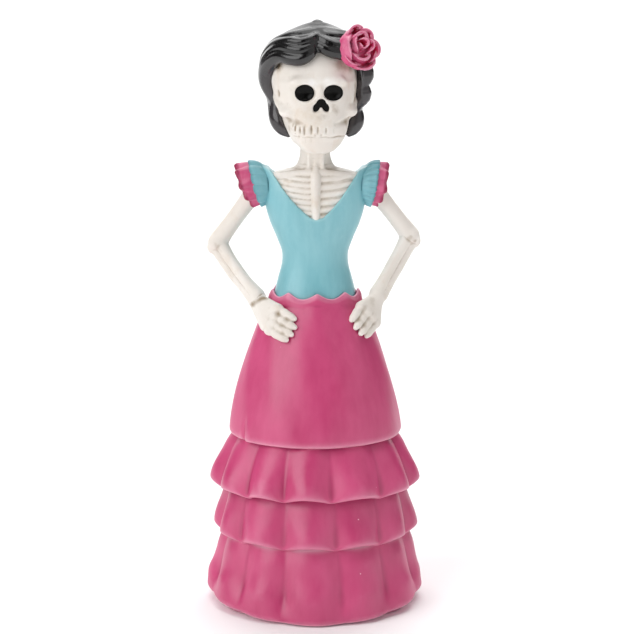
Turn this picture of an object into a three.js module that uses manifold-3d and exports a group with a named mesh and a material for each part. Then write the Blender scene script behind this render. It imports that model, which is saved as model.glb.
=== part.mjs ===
// Calavera lady: a painted cast-resin figurine of a skeleton in a flounced dress, hands on hips.
// Millimetres, +Z up. The origin is the middle of the flat base and the figure faces -Y.
// Right and left are the figure's own, so its right hand is on the -X side.
import * as THREE from "three";
import { mergeVertices } from "three/addons/utils/BufferGeometryUtils.js";
import Module from "manifold-3d";

const wasm = await Module();
wasm.setup();

const { lerp, smoothstep, degToRad } = THREE.MathUtils;

// Fits between castings
const GLUE_GAP = 0.3; // film of glue between two castings
const SPIGOT_RADIUS = 14; // round tenon that centres one skirt tier on the next
const SPIGOT_HEIGHT = 5;
const WAIST_PLUG_DEPTH = 6; // foot of the bodice that goes down into the skirt
const HAIR_PEG_RADIUS = 1.6; // stem of the rose
const HAIR_PEG_LENGTH = 3;

// Skirt tiers, from the table up; each height runs from one glue joint to the next
const HEM_HEIGHT = 28.2;
const HEM_RADIUS = 37;
const HEM_TOP_RADIUS = 30.2;
const HEM_ROUND = 1.3; // soft edge where the hem meets the table
const MIDDLE_HEIGHT = 16.2;
const MIDDLE_LIP_RADIUS = 34;
const MIDDLE_TOP_RADIUS = 28.6;
const UPPER_HEIGHT = 17.6;
const UPPER_LIP_RADIUS = 35;
const UPPER_TOP_RADIUS = 25.6;
const BELL_HEIGHT = 45;
const BELL_LIP_RADIUS = 29.6;
const TIER_SLOPE = 1.4; // above 1 a tier stays wide near its lip, then draws in
const SKIRT_DEPTH_RATIO = 0.95; // front to back against side to side
const LIP_DROP = 2.4; // how far a tier hangs below its joint
const LIP_THICKNESS = 1.9;
const LIP_CLEARANCE = 0.5; // free space between a hanging lip and the folds inside it

// Gathered folds; each groove is given in degrees round from the front
const HEM_GROOVES = [-46, -18, 15, 45, 75, 104, 134, 164, 193, 222, 252, 284];
const MIDDLE_GROOVES = [-51, -19, 13, 43, 72, 102, 133, 163, 193, 223, 252, 281];
const UPPER_GROOVES = [-44, -19, 10, 43, 73, 103, 133, 163, 193, 223, 253, 286];
const HEM_FOLD_RELIEF = 2; // crown to groove at the lip
const TIER_FOLD_RELIEF = 1.6;
const FOLD_MEAN = 0.62; // plain tier between groove and crown, as a share of the relief
const FOLD_FADE = 0.6; // share of that relief lost by the top of a tier
const FOLD_SHOULDER = 1; // swell of a tier below the lip that hangs over it
const FOLD_SHOULDER_PLACE = 0.72; // share of the way up the tier, and reach of the swell in such shares
const FOLD_SHOULDER_REACH = 0.17;
const SCALLOP_COUNT = 9;
const SCALLOP_TURN = 3;
const SCALLOP_WAVE = 1.2; // rise and fall of the waist edge
const RIM_WALL = 0.9;

// Bodice; heights are above the waist
const HIP_HALF_WIDTH = 13.9;
const HIP_HALF_DEPTH = 11.4;
const NARROW_HEIGHT = 13;
const NARROW_HALF_WIDTH = 11;
const NARROW_HALF_DEPTH = 8.8;
const BUST_HEIGHT = 31;
const BUST_HALF_WIDTH = 16.4;
const BUST_HALF_DEPTH = 10.6;
const SHOULDER_HEIGHT = 46;
const SHOULDER_HALF_WIDTH = 18.6;
const SHOULDER_HALF_DEPTH = 6.6;
const SHOULDER_ROUND = 1.7;
const BODICE_WALL = 1.1;
const STRAP_WIDTH = 4.2;
const NECKLINE_FRONT_DEPTH = 18.6;
const NECKLINE_BACK_DEPTH = 9;
const NECKLINE_CORNER = 0.16; // share of that depth where the V leaves the straps
const NECKLINE_BOW_WIDTH = 0.56; // bow of the V's edges, as shares of its half width and its depth
const NECKLINE_BOW_DEPTH = 0.86;

// Chest and neck bones
const RIB_PITCH = 2.6;
const RIB_RELIEF = 0.5;
const RIB_LOWEST = 20; // hidden lower end of the casting, above the waist
const STERNUM_HALF_WIDTH = 2.1;
const CHEST_BONE_SINK = 0.7; // middle of the breastbone and collarbones behind the front of the chest
const STERNUM_FLATNESS = 0.65;
const COLLARBONE_RADIUS = 1.2;
const COLLARBONE_INNER_DROP = 1.6; // inner end below the top of the chest
const COLLARBONE_OUTER_DROP = 3.4; // outer end below it
const CHEST_RISE = 0.6; // top of the chest above the straps
const CHEST_SLOPE = 5.6; // height in which the chest draws in to the neck
const NECK_ROOT_HALF_WIDTH = 6.4;
const NECK_ROOT_HALF_DEPTH = 4.6;
const NECK_RADIUS = 5;
const NECK_BONE_COUNT = 3;
const NECK_BONE_RELIEF = 0.6;
const NECK_IN_SKULL = 3; // upper end of the neck inside the skull
const NECK_TENON = 4; // length of the neck let into the chest

// Sleeves; lengths run outward along the sleeve
const SLEEVE_TILT = 15; // degrees below level
const ARMHOLE_HALF_HEIGHT = 7.9;
const ARMHOLE_HALF_DEPTH = 6.2;
const SLEEVE_WAVE_COUNT = 9;
const FRILL_SEAM = 3; // inner end of the frill, inside the armhole
const FRILL_LENGTH = 4.6;
const FRILL_SPREAD = 0.2; // gain in radius from the seam to the edge
const FRILL_BULGE = 0.7;
const FRILL_THICKNESS = 1.3;
const FRILL_WAVE = 0.4;
const TRIM_LENGTH = 3.6;
const TRIM_SPREAD = -0.9;
const TRIM_BULGE = 0.3;
const TRIM_THICKNESS = 1.2;
const TRIM_WAVE = 0.7;
const SLEEVE_INSET = 1; // middle of the sleeve's seam inside the shoulder joint
const UNDERARM_CLEARANCE = 0.7; // the frill stands this far out of the bodice under the arm

// Arms; elbows are given from the shoulder
const SHOULDER_DROP = 7.4; // shoulder joint below the top of the strap
const SHOULDER_OUT = 0.7; // shoulder joint outside the side of the bodice
const UPPER_ARM_RADIUS = 2.9;
const ELBOW_RADIUS = 3.7;
const FOREARM_BONE_RADIUS = 1.9;
const FOREARM_BONE_SPREAD = 1.25;
const WRIST_RADIUS = 2.6;
const RIGHT_ELBOW_OUT = 14.6;
const RIGHT_ELBOW_DROP = 21;
const LEFT_ELBOW_OUT = 13.6;
const LEFT_ELBOW_DROP = 19.2;
const ELBOW_BACK = 3;

// Hands on the hips; angles are round the skirt from its front, heights are below the waist
const FINGER_RADIUS = 1.15;
const PALM_RADIUS = 3.9;
const PALM_FLATNESS = 0.5; // thickness of the palm against its breadth
const RIGHT_WRIST_ANGLE = 72;
const RIGHT_WRIST_DROP = -0.6;
const RIGHT_KNUCKLE_ANGLE = 50;
const RIGHT_KNUCKLE_DROP = 0.6;
const RIGHT_TIP_ANGLE = 21;
const RIGHT_TIP_DROP = 4.6;
const RIGHT_KNUCKLE_SPREAD = 2; // each finger lies behind and below the one before it, in degrees
const RIGHT_TIP_SPREAD = 2.6;
const LEFT_WRIST_ANGLE = 84;
const LEFT_WRIST_DROP = -2;
const LEFT_KNUCKLE_ANGLE = 58;
const LEFT_KNUCKLE_DROP = -0.8;
const LEFT_TIP_ANGLE = 40;
const LEFT_TIP_DROP = 5;
const LEFT_KNUCKLE_SPREAD = 8;
const LEFT_TIP_SPREAD = 7;
const FINGER_PITCH = 2.15; // fall from one finger to the next
const KNUCKLE_LIFT = 0.7; // arch of the fingers off the skirt, at the knuckles and half way along
const FINGER_LIFT = 0.4;
const THUMB_MIDDLE_TURN = 45; // degrees behind the first knuckle
const THUMB_TIP_TURN = 66;
const THUMB_TIP_DROP = 1.5; // fall of the thumb's tip from the first knuckle
const WRIST_STANDOFF = 4.6; // wrist centre out from the skirt

// Head; sizes are from the middle of the cranium
const HEAD_RISE = 27; // middle of the cranium above the top of the straps
const HEAD_FORWARD = 2;
const HEAD_SIDE = 0.3;
const HEAD_TURN = 7; // degrees towards the figure's left
const CRANIUM_HALF_WIDTH = 13.8;
const CRANIUM_HALF_DEPTH = 15.4;
const CRANIUM_HALF_HEIGHT = 14.4;
const FACE_HALF_DEPTH = 8;
const CHEEK_DROP = 7.6;
const CHEEK_HALF_SPAN = 9.4;
const CHEEK_HALF_WIDTH = 3.4;
const CHEEK_HALF_DEPTH = 4.6;
const CHEEK_HALF_HEIGHT = 2.6;
const CHEEK_FORWARD = 1.6; // middle of a cheekbone before the middle of the face
const MOUTH_DROP = 15.4;
const MOUTH_HALF_WIDTH = 8.8;
const CHIN_DROP = 22;
const CHIN_HALF_WIDTH = 4.4;
const JAW_HALF_WIDTH = 9.6;
const JAW_HINGE_RADIUS = 1.9;
const JAW_HINGE_BACK = 3.4; // top of the jaw's hinge behind the middle of the face
const JAW_HINGE_DROP = 10.2;
const FACE_SQUARE = 2.4; // corners of the face, seen from above
const EYE_SPACING = 9.4;
const EYE_DROP = 2.6;
const EYE_HALF_WIDTH = 3.2;
const EYE_HALF_HEIGHT = 2.8;
const EYE_DEPTH = 3;
const NOSE_DROP = 6.4;
const NOSE_HALF_WIDTH = 2.7;
const NOSE_HEIGHT = 3.9;
const NOSE_DEPTH = 2.2;
const ENAMEL_SINK = 1.3; // black enamel lies this far below the rim of its socket
const TOOTH_COUNT = 8;
const TOOTH_ARC = 104; // degrees round the mouth, from the first tooth to the last
const TOOTH_SINK = 0.5; // middle of a tooth inside the face
const TOOTH_RADIUS = 0.95;
const UPPER_TOOTH_LENGTH = 3.8;
const LOWER_TOOTH_LENGTH = 2.6;

// Hair and rose
const HAIR_SIDE = 5.5; // thickness beside the skull
const HAIR_TOP = 5.2;
const HAIR_BACK = 4.4;
const PARTING_HEIGHT = 10.6;
const SWOOP_HEIGHT = 6.9;
const COMBED_LOCKS = 15; // locks combed down from the parting; an odd count, so a groove meets the parting
const COMBED_RELIEF = 2.4; // crown to groove of a lock at the back of the head
const COMBED_FRONT_SHARE = 0.4; // share of that relief left above the face
const COMBED_TOP = 8; // degrees from the top of the head to where the locks part
const PARTING_PINCH = 0.35; // the locks start from a line, which narrows the top by this share
// Swept lock over the right temple: degrees round from the front, height, radius, and the depth of its
// middle below the crowns of the combed locks, at each station
const SWEPT_LOCK = [[3, 13.4, 1.5, 2.2], [26, 9.6, 2.6, 1.2], [52, 9.2, 2.7, 1.3], [80, 6, 2.2, 3]];
const LOCK_HALF_HEIGHT = 5.6;
const LOCK_HALF_THICKNESS = 3.4;
const LOCK_DROP = 13;
const LOCK_FRONT_ANGLE = 48; // degrees from the front to the curled end of each lock
const LOCK_END_SHARE = 0.45; // size of the curled end against the rest of the lock
const LOCK_END_DROP = 2; // fall of the curled end
const ROSE_RADIUS = 6.8;
const ROSE_ANGLE = 46; // degrees round from the front to the figure's left
const ROSE_RISE = 32; // degrees above level
const ROSE_STANDOFF = 1.6; // foot of the petals above the hair
const ROSE_CUP_DEPTH = 1.2; // round foot below the petals
const ROSE_HEART_RADIUS = 1.2;
const ROSE_HEART_HEIGHT = 4.9;
const PETAL_THICKNESS = 0.9;
const PETAL_LOBE = 0.07; // swell of each petal, as a share of its reach
const PETAL_WAVE = 0.5; // rise and fall of the rims
// Layers from the outside in; heights are above the foot of the petals, turns are in degrees
const ROSE_LAYERS = [
  { reach: ROSE_RADIUS, rim: 2.8, fold: 1, petals: 5, turn: 0 },
  { reach: ROSE_RADIUS * 0.7, rim: 4, fold: 2.2, petals: 4, turn: 40 },
  { reach: ROSE_RADIUS * 0.44, rim: 4.8, fold: 3.2, petals: 3, turn: 15 },
];

// Mesh steps
const BELL_SIDES = 4 * SCALLOP_COUNT;
const BODY_SIDES = 24;
const CHEST_SIDES = 18;
const SLEEVE_SIDES = 2 * SLEEVE_WAVE_COUNT;
const FACE_SIDES = 16;
const ROSE_SIDES = 20;
const HAIR_SIDES = 3 * COMBED_LOCKS;
const HEAD_SIDES = 18;
const HEAD_RINGS = 11;

const PINK = 0xcf5688;
const DEEP_PINK = 0xc34a7c;
const TURQUOISE = 0x86bfc8;
const BONE = 0xe6ded4;
const HAIR_BLACK = 0x2e2b2c;
const ENAMEL_BLACK = 0x14110f;

const waistLine = HEM_HEIGHT + MIDDLE_HEIGHT + UPPER_HEIGHT + BELL_HEIGHT;
const at = (x, y, z) => new THREE.Vector3(x, y, z);

// Solid from a closed geometry, with its shared corners merged
function solid(geometry) {
  const bare = new THREE.BufferGeometry();
  bare.setAttribute("position", geometry.getAttribute("position"));
  bare.setIndex(geometry.getIndex());
  const merged = mergeVertices(bare, 1e-5);
  const vertProperties = new Float32Array(merged.getAttribute("position").array);
  const triVerts = new Uint32Array(merged.getIndex().array);
  return new wasm.Manifold(new wasm.Mesh({ numProp: 3, vertProperties, triVerts }));
}

function joined(solids) {
  return solids.reduce((whole, next) => whole.add(next));
}

// Named mesh of a solid, with a paint of its own
function piece(name, shape, color, roughness) {
  const { vertProperties, triVerts } = shape.getMesh();
  const geometry = new THREE.BufferGeometry();
  geometry.setAttribute("position", new THREE.BufferAttribute(vertProperties, 3));
  geometry.setIndex(new THREE.BufferAttribute(triVerts, 1));
  geometry.computeVertexNormals();
  const mesh = new THREE.Mesh(geometry, new THREE.MeshStandardMaterial({ color, roughness, metalness: 0 }));
  mesh.name = name;
  return mesh;
}

// Skin over a stack of rings with equal counts of points; the end rings are closed by fans,
// or, on a hoop, the last ring joins the first
function loft(rings, hoop = false) {
  const sides = rings[0].length;
  const points = rings.flat();
  const index = [];
  const spans = hoop ? rings.length : rings.length - 1;
  for (let i = 0; i < spans; i += 1) {
    const low = i * sides;
    const high = ((i + 1) % rings.length) * sides;
    for (let j = 0; j < sides; j += 1) {
      const next = (j + 1) % sides;
      index.push(low + j, low + next, high + next, low + j, high + next, high + j);
    }
  }
  if (!hoop) {
    const middle = (ring) => ring.reduce((sum, p) => sum.add(p), at(0, 0, 0)).divideScalar(sides);
    const first = points.push(middle(rings[0])) - 1;
    const last = points.push(middle(rings[rings.length - 1])) - 1;
    const top = (rings.length - 1) * sides;
    for (let j = 0; j < sides; j += 1) {
      const next = (j + 1) % sides;
      index.push(first, next, j, last, top + j, top + next);
    }
  }
  return new THREE.BufferGeometry().setFromPoints(points).setIndex(index);
}

// Points round a closed ring, from `start` degrees
function ring(sides, place, start = 0) {
  const turn = (k) => degToRad(start) + (2 * Math.PI * k) / sides;
  return Array.from({ length: sides }, (_, k) => place(turn(k)));
}

// Point of a level oval: angle 0 is the front and a quarter turn is +X; `square` over 2 fills the corners
function oval(angle, halfWidth, halfDepth, z, square = 2) {
  const along = (value) => Math.sign(value) * Math.abs(value) ** (2 / square);
  return at(halfWidth * along(Math.sin(angle)), -halfDepth * along(Math.cos(angle)), z);
}

// Value at `x` on a curve that levels off at each station [x, value]
function eased(stations, x) {
  const last = stations.length - 2;
  const after = stations.findIndex(([place]) => place > x);
  const k = after < 0 ? last : Math.max(0, Math.min(last, after - 1));
  const [x0, v0] = stations[k];
  const [x1, v1] = stations[k + 1];
  return lerp(v0, v1, smoothstep(x, x0, x1));
}

function steps(from, to, count) {
  return Array.from({ length: count + 1 }, (_, k) => lerp(from, to, k / count));
}

function ellipsoid(centre, halfWidth, halfDepth, halfHeight, around = 12, down = 6) {
  const ball = new THREE.SphereGeometry(1, around, down).rotateX(Math.PI / 2);
  return solid(ball.scale(halfWidth, halfDepth, halfHeight).translate(centre.x, centre.y, centre.z));
}

function upright(radius, low, high, sides = 12) {
  const rod = new THREE.CylinderGeometry(radius, radius, high - low, sides).rotateX(Math.PI / 2);
  return solid(rod.translate(0, 0, (low + high) / 2));
}

// Prism of an outline drawn in x and z, from y = 0 forwards
function prism(outline, depth, curveSegments) {
  const block = new THREE.ExtrudeGeometry(outline, { depth, bevelEnabled: false, curveSegments });
  return solid(block.rotateX(Math.PI / 2));
}

// Bone or finger with rounded ends, along a smooth curve through `stations` of a point and a radius.
// `facing` is the way its `flatness` is measured.
function limb(stations, { sides = 10, rings = 10, grow = 0, flatness = 1, facing = at(0, 1, 0) } = {}) {
  const curve = new THREE.CatmullRomCurve3(stations.map(([point]) => point));
  const radii = stations.map(([, radius], k) => [k / (stations.length - 1), radius]);
  const section = (t, shift, share) => {
    const radius = eased(radii, t) + grow;
    const tangent = curve.getTangent(t);
    const broad = new THREE.Vector3().crossVectors(facing, tangent).normalize();
    const thick = new THREE.Vector3().crossVectors(tangent, broad).normalize();
    const centre = curve.getPoint(t).addScaledVector(tangent, shift * radius);
    const thin = (radius - grow) * flatness + grow;
    return ring(sides, (angle) => centre
      .clone()
      .addScaledVector(broad, share * radius * Math.cos(angle))
      .addScaledVector(thick, share * thin * Math.sin(angle)));
  };
  const heel = [section(0, -0.92, 0.4), section(0, -0.55, 0.83)];
  const tip = [section(1, 0.55, 0.83), section(1, 0.92, 0.4)];
  const shaft = steps(0, 1, rings).map((t) => section(t, 0, 1));
  return solid(loft([...heel, ...shaft, ...tip]));
}

// Skirt

// Half width of a tier at the share `t` of the way from its lip to its top
const tierSpan = (lip, top, t) => lip - (lip - top) * t ** TIER_SLOPE;

const foldShoulder = (t) =>
  FOLD_SHOULDER * Math.exp(-(((t - FOLD_SHOULDER_PLACE) / FOLD_SHOULDER_REACH) ** 2));

// A tier hangs from `joint`, is widest at `low` and meets the next tier at `high`
function tier(joint, height, lip, top, grooves) {
  const low = joint - LIP_DROP + LIP_THICKNESS * 0.5;
  return { joint, low, high: joint + height, lip, top, grooves, relief: TIER_FOLD_RELIEF };
}

// Ring of a tier: each groove, then two points on the crown of its fold
function gatheredRing(grooves, z, radius, relief) {
  return grooves.flatMap((groove, k) => {
    const next = k + 1 < grooves.length ? grooves[k + 1] : grooves[0] + 360;
    return [0, 1 / 3, 2 / 3].map((share) => {
      const span = radius + relief * ((share > 0 ? 1 : 0) - FOLD_MEAN);
      return oval(degToRad(lerp(groove, next, share)), span, span * SKIRT_DEPTH_RATIO, z);
    });
  });
}

// Sloping outer face of a tier, from its lip up to its joint with the next
function gatheredFace({ low, high, lip, top, grooves, relief }, count) {
  return steps(0, 1, count).map((t) => {
    const radius = tierSpan(lip, top, t) + foldShoulder(t);
    return gatheredRing(grooves, lerp(low, high, t), radius, relief * (1 - FOLD_FADE * t));
  });
}

function spigot(joint) {
  return upright(SPIGOT_RADIUS, joint - GLUE_GAP, joint + SPIGOT_HEIGHT);
}

function spigotSocket(joint) {
  return upright(SPIGOT_RADIUS + GLUE_GAP, joint - GLUE_GAP, joint + SPIGOT_HEIGHT + GLUE_GAP);
}

function hemFlounce() {
  const foot = gatheredRing(hem.grooves, 0, hem.lip - HEM_ROUND, hem.relief);
  const round = gatheredRing(hem.grooves, HEM_ROUND * 0.6, hem.lip - HEM_ROUND * 0.25, hem.relief);
  return solid(loft([foot, round, ...gatheredFace(hem, 4)])).add(spigot(hem.high));
}

// Seat on the tier below, and the underside of the lip that hangs round it
function hangingLip({ joint, lip }, below, makeRing) {
  const bottom = joint - LIP_DROP;
  const clear = (z) => {
    const t = (z - below.low) / (below.high - below.low);
    const crown = below.relief * (1 - FOLD_FADE * t) * (1 - FOLD_MEAN);
    return tierSpan(below.lip, below.top, t) + foldShoulder(t) + crown + LIP_CLEARANCE;
  };
  const inner = bottom + LIP_THICKNESS * 0.3;
  return [
    makeRing(joint + GLUE_GAP, clear(below.high), 0),
    makeRing(inner, Math.max(clear(inner), lip - LIP_THICKNESS), 0),
    makeRing(bottom, lip - LIP_THICKNESS * 0.3, TIER_FOLD_RELIEF),
  ];
}

function flounce(own, below) {
  const lip = hangingLip(own, below, (...level) => gatheredRing(own.grooves, ...level));
  return solid(loft([...lip, ...gatheredFace(own, 4)]))
    .subtract(spigotSocket(own.joint))
    .add(spigot(own.high));
}

const hem = { low: HEM_ROUND * 2, high: HEM_HEIGHT, lip: HEM_RADIUS, top: HEM_TOP_RADIUS,
  grooves: HEM_GROOVES, relief: HEM_FOLD_RELIEF };
const middleTier = tier(hem.high, MIDDLE_HEIGHT, MIDDLE_LIP_RADIUS, MIDDLE_TOP_RADIUS, MIDDLE_GROOVES);
const upperTier = tier(middleTier.high, UPPER_HEIGHT, UPPER_LIP_RADIUS, UPPER_TOP_RADIUS, UPPER_GROOVES);
const waistHalfWidth = HIP_HALF_WIDTH + GLUE_GAP + RIM_WALL;
const waistHalfDepth = HIP_HALF_DEPTH + GLUE_GAP + RIM_WALL;
const bell = tier(upperTier.high, BELL_HEIGHT, BELL_LIP_RADIUS, waistHalfWidth);

function bellOval(z) {
  const t = Math.max(0, (z - bell.low) / (bell.high - bell.low));
  return {
    halfWidth: tierSpan(bell.lip, bell.top, t),
    halfDepth: tierSpan(bell.lip * SKIRT_DEPTH_RATIO, waistHalfDepth, t),
  };
}

const scallop = (angle) => SCALLOP_WAVE * Math.cos(SCALLOP_COUNT * (angle - degToRad(SCALLOP_TURN)));

function bellFace(grow = 0) {
  return steps(0, 1, 5).map((t) => {
    const z = lerp(bell.low, bell.high, t);
    const { halfWidth, halfDepth } = bellOval(z);
    const wave = (angle) => (t === 1 ? scallop(angle) + grow : 0);
    return ring(BELL_SIDES, (angle) => oval(angle, halfWidth + grow, halfDepth + grow, z + wave(angle)),
      SCALLOP_TURN);
  });
}

function skirtBell() {
  const levelRing = (z, radius) =>
    ring(BELL_SIDES, (angle) => oval(angle, radius, radius * SKIRT_DEPTH_RATIO, z), SCALLOP_TURN);
  const lip = hangingLip(bell, upperTier, levelRing);
  const socketWall = (height) => ring(BELL_SIDES, (angle) =>
    oval(angle, HIP_HALF_WIDTH + GLUE_GAP, HIP_HALF_DEPTH + GLUE_GAP, height(angle)), SCALLOP_TURN);
  const rim = socketWall((angle) => waistLine + scallop(angle));
  const floor = socketWall(() => waistLine - WAIST_PLUG_DEPTH - GLUE_GAP);
  return solid(loft([...lip, ...bellFace(), rim, floor])).subtract(spigotSocket(bell.joint));
}

const skirt = new THREE.Group();
skirt.add(piece("hem_flounce", hemFlounce(), DEEP_PINK, 0.4));
skirt.add(piece("middle_flounce", flounce(middleTier, hem), PINK, 0.4));
skirt.add(piece("upper_flounce", flounce(upperTier, middleTier), PINK, 0.4));
skirt.add(piece("skirt_bell", skirtBell(), PINK, 0.4));

// Torso, in a frame whose level 0 is the waist

const torso = new THREE.Group();
torso.position.z = waistLine;

function bodiceOval(z) {
  const level = (hip, narrow, bust, shoulder) =>
    eased([[0, hip], [NARROW_HEIGHT, narrow], [BUST_HEIGHT, bust], [SHOULDER_HEIGHT, shoulder]], z);
  return {
    halfWidth: level(HIP_HALF_WIDTH, NARROW_HALF_WIDTH, BUST_HALF_WIDTH, SHOULDER_HALF_WIDTH),
    halfDepth: level(HIP_HALF_DEPTH, NARROW_HALF_DEPTH, BUST_HALF_DEPTH, SHOULDER_HALF_DEPTH),
    square: level(2, 2, 2.2, 2.8),
  };
}

function bodiceBlank(grow = 0) {
  const levels = [-WAIST_PLUG_DEPTH, ...steps(0, SHOULDER_HEIGHT - SHOULDER_ROUND, 11)];
  const section = (z, inset) => {
    const { halfWidth, halfDepth, square } = bodiceOval(z);
    return ring(BODY_SIDES, (angle) =>
      oval(angle, halfWidth + grow - inset, halfDepth + grow - inset, z + (inset ? grow : 0), square));
  };
  return solid(loft([...levels.map((z) => section(z, 0)), section(SHOULDER_HEIGHT, SHOULDER_ROUND)]));
}

// Rounded V cut through one half of the bodice; `way` is -1 for the front and 1 for the back
function neckline(depth, way) {
  const half = SHOULDER_HALF_WIDTH - STRAP_WIDTH;
  const reach = SHOULDER_HEIGHT + depth;
  const corner = SHOULDER_HEIGHT - depth * NECKLINE_CORNER;
  const bowX = half * NECKLINE_BOW_WIDTH;
  const bowZ = SHOULDER_HEIGHT - depth * NECKLINE_BOW_DEPTH;
  const outline = new THREE.Shape();
  outline.moveTo(-half, reach);
  outline.lineTo(-half, corner);
  outline.quadraticCurveTo(-bowX, bowZ, 0, SHOULDER_HEIGHT - depth);
  outline.quadraticCurveTo(bowX, bowZ, half, corner);
  outline.lineTo(half, reach);
  const thickness = 2 * BUST_HALF_DEPTH;
  return prism(outline, thickness, 8).translate(0, way > 0 ? thickness : 0, 0);
}

const ribTop = SHOULDER_HEIGHT + CHEST_RISE;
const ribShoulder = ribTop - CHEST_SLOPE;

// Chest under the bodice, drawn in from the shoulders to the neck
function chestForm(z) {
  const { halfWidth, halfDepth, square } = bodiceOval(z);
  const inset = BODICE_WALL + GLUE_GAP;
  const draw = smoothstep(z, ribShoulder, ribTop);
  return {
    halfWidth: lerp(halfWidth - inset, NECK_ROOT_HALF_WIDTH, draw),
    halfDepth: lerp(halfDepth - inset, NECK_ROOT_HALF_DEPTH, draw),
    square: lerp(square, 2, draw),
  };
}

const chestLevels = [...steps(RIB_LOWEST, ribShoulder, 4), ...steps(ribShoulder, ribTop, 4).slice(1)];

// The chest's form between its main levels, where its skin is straight
function chestOval(z) {
  const k = Math.min(chestLevels.length - 2, chestLevels.filter((level) => level <= z).length - 1);
  const low = chestForm(chestLevels[k]);
  const high = chestForm(chestLevels[k + 1]);
  const t = (z - chestLevels[k]) / (chestLevels[k + 1] - chestLevels[k]);
  const between = (key) => lerp(low[key], high[key], t);
  return { halfWidth: between("halfWidth"), halfDepth: between("halfDepth"), square: between("square") };
}

function chestBlank(grow, levels, groove) {
  const sections = levels.map((z) => {
    const { halfWidth, halfDepth, square } = chestOval(z);
    const lift = z === levels[0] ? -grow : 0;
    return ring(CHEST_SIDES, (angle) => {
      const cut = groove(z, angle);
      return oval(angle, halfWidth + grow - cut, halfDepth + grow - cut, z + lift, square);
    });
  });
  return solid(loft(sections));
}

// Breastbone and collarbones
function chestBones() {
  const onChest = (x, z) => {
    const { halfWidth, halfDepth, square } = chestOval(z);
    const across = Math.min(1, Math.abs(x) / halfWidth);
    return at(x, CHEST_BONE_SINK - halfDepth * (1 - across ** square) ** (1 / square), z);
  };
  const low = SHOULDER_HEIGHT - NECKLINE_FRONT_DEPTH + STERNUM_HALF_WIDTH;
  const high = ribTop - COLLARBONE_INNER_DROP;
  const bar = steps(low, high, 2).map((z) => [onChest(0, z), STERNUM_HALF_WIDTH]);
  const sternum = limb(bar, { sides: 8, rings: 4, flatness: STERNUM_FLATNESS });
  const reach = SHOULDER_HALF_WIDTH - STRAP_WIDTH - 2 * COLLARBONE_RADIUS - GLUE_GAP;
  const collarbones = [-1, 1].map((side) => limb(steps(0, 1, 2).map((t) => {
    const x = side * lerp(STERNUM_HALF_WIDTH, reach, t);
    return [onChest(x, lerp(high, ribTop - COLLARBONE_OUTER_DROP, t)), COLLARBONE_RADIUS];
  }), { sides: 6, rings: 3 }));
  return joined([sternum, ...collarbones]);
}

function ribCage() {
  const ribsFrom = SHOULDER_HEIGHT - NECKLINE_FRONT_DEPTH;
  const ribSteps = Math.round((2 * (ribShoulder - ribsFrom)) / RIB_PITCH);
  const ribLevels = steps(ribsFrom, ribShoulder, ribSteps);
  const levels = [...new Set([...chestLevels, ...ribLevels])].sort((a, b) => a - b);
  const groove = (z, angle) => {
    const front = smoothstep(Math.cos(angle), 0, 0.5);
    const open = smoothstep(z, ribsFrom - 1, ribsFrom) * (1 - smoothstep(z, ribShoulder, ribShoulder + 1));
    const wave = 0.5 - 0.5 * Math.cos((2 * Math.PI * (z - ribsFrom)) / RIB_PITCH);
    return RIB_RELIEF * wave * front * open;
  };
  return chestBlank(0, levels, groove).add(chestBones());
}

function ribCageRoom() {
  return chestBlank(GLUE_GAP, chestLevels, () => 0);
}

const neckLow = ribTop - NECK_TENON;
const neckHigh = SHOULDER_HEIGHT + HEAD_RISE - CRANIUM_HALF_HEIGHT + NECK_IN_SKULL;

// Neck bones: rounded rings on a stem that ends inside the skull
function neck(grow = 0) {
  const levels = steps(neckLow, neckHigh, 3 * NECK_BONE_COUNT);
  const sections = levels.map((z, k) => {
    const bone = Math.abs(Math.sin((NECK_BONE_COUNT * Math.PI * (z - neckLow)) / (neckHigh - neckLow)));
    const radius = NECK_RADIUS - NECK_BONE_RELIEF + NECK_BONE_RELIEF * (grow ? 1 : bone) + grow;
    const lift = (k === 0 ? -grow : 0) + (k === levels.length - 1 ? grow : 0);
    const lean = -HEAD_FORWARD * smoothstep(z, neckLow, neckHigh);
    return ring(12, (angle) => oval(angle, radius, radius, z + lift).add(at(0, lean, 0)));
  });
  return solid(loft(sections));
}

// Arms

function shoulderPoint(side) {
  const z = SHOULDER_HEIGHT - SHOULDER_DROP;
  return at(side * (bodiceOval(z).halfWidth + SHOULDER_OUT), 0, z);
}

function elbowPoint(side) {
  const out = side < 0 ? RIGHT_ELBOW_OUT : LEFT_ELBOW_OUT;
  const drop = side < 0 ? RIGHT_ELBOW_DROP : LEFT_ELBOW_DROP;
  return shoulderPoint(side).add(at(side * out, ELBOW_BACK, -drop));
}

// Point on the skirt, `drop` below the waist and `angle` degrees round to one side, lifted off it
function onHip(side, angle, drop, lift) {
  const { halfWidth, halfDepth } = bellOval(waistLine - drop);
  return oval(side * degToRad(angle), halfWidth + lift, halfDepth + lift, -drop);
}

function wristPoint(side) {
  return side < 0
    ? onHip(side, RIGHT_WRIST_ANGLE, RIGHT_WRIST_DROP, WRIST_STANDOFF)
    : onHip(side, LEFT_WRIST_ANGLE, LEFT_WRIST_DROP, WRIST_STANDOFF);
}

// The rounded head of the arm is seated in a shallow hollow in the side of the bodice
function upperArm(side, grow = 0) {
  const shoulder = shoulderPoint(side);
  const elbow = elbowPoint(side);
  const along = (t) => shoulder.clone().lerp(elbow, t);
  const stations = [
    [along(0.06), UPPER_ARM_RADIUS],
    [along(0.46), UPPER_ARM_RADIUS],
    [along(0.86), UPPER_ARM_RADIUS * 1.02],
    [elbow, ELBOW_RADIUS],
  ];
  return limb(stations, { sides: 9, rings: 8, grow });
}

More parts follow.
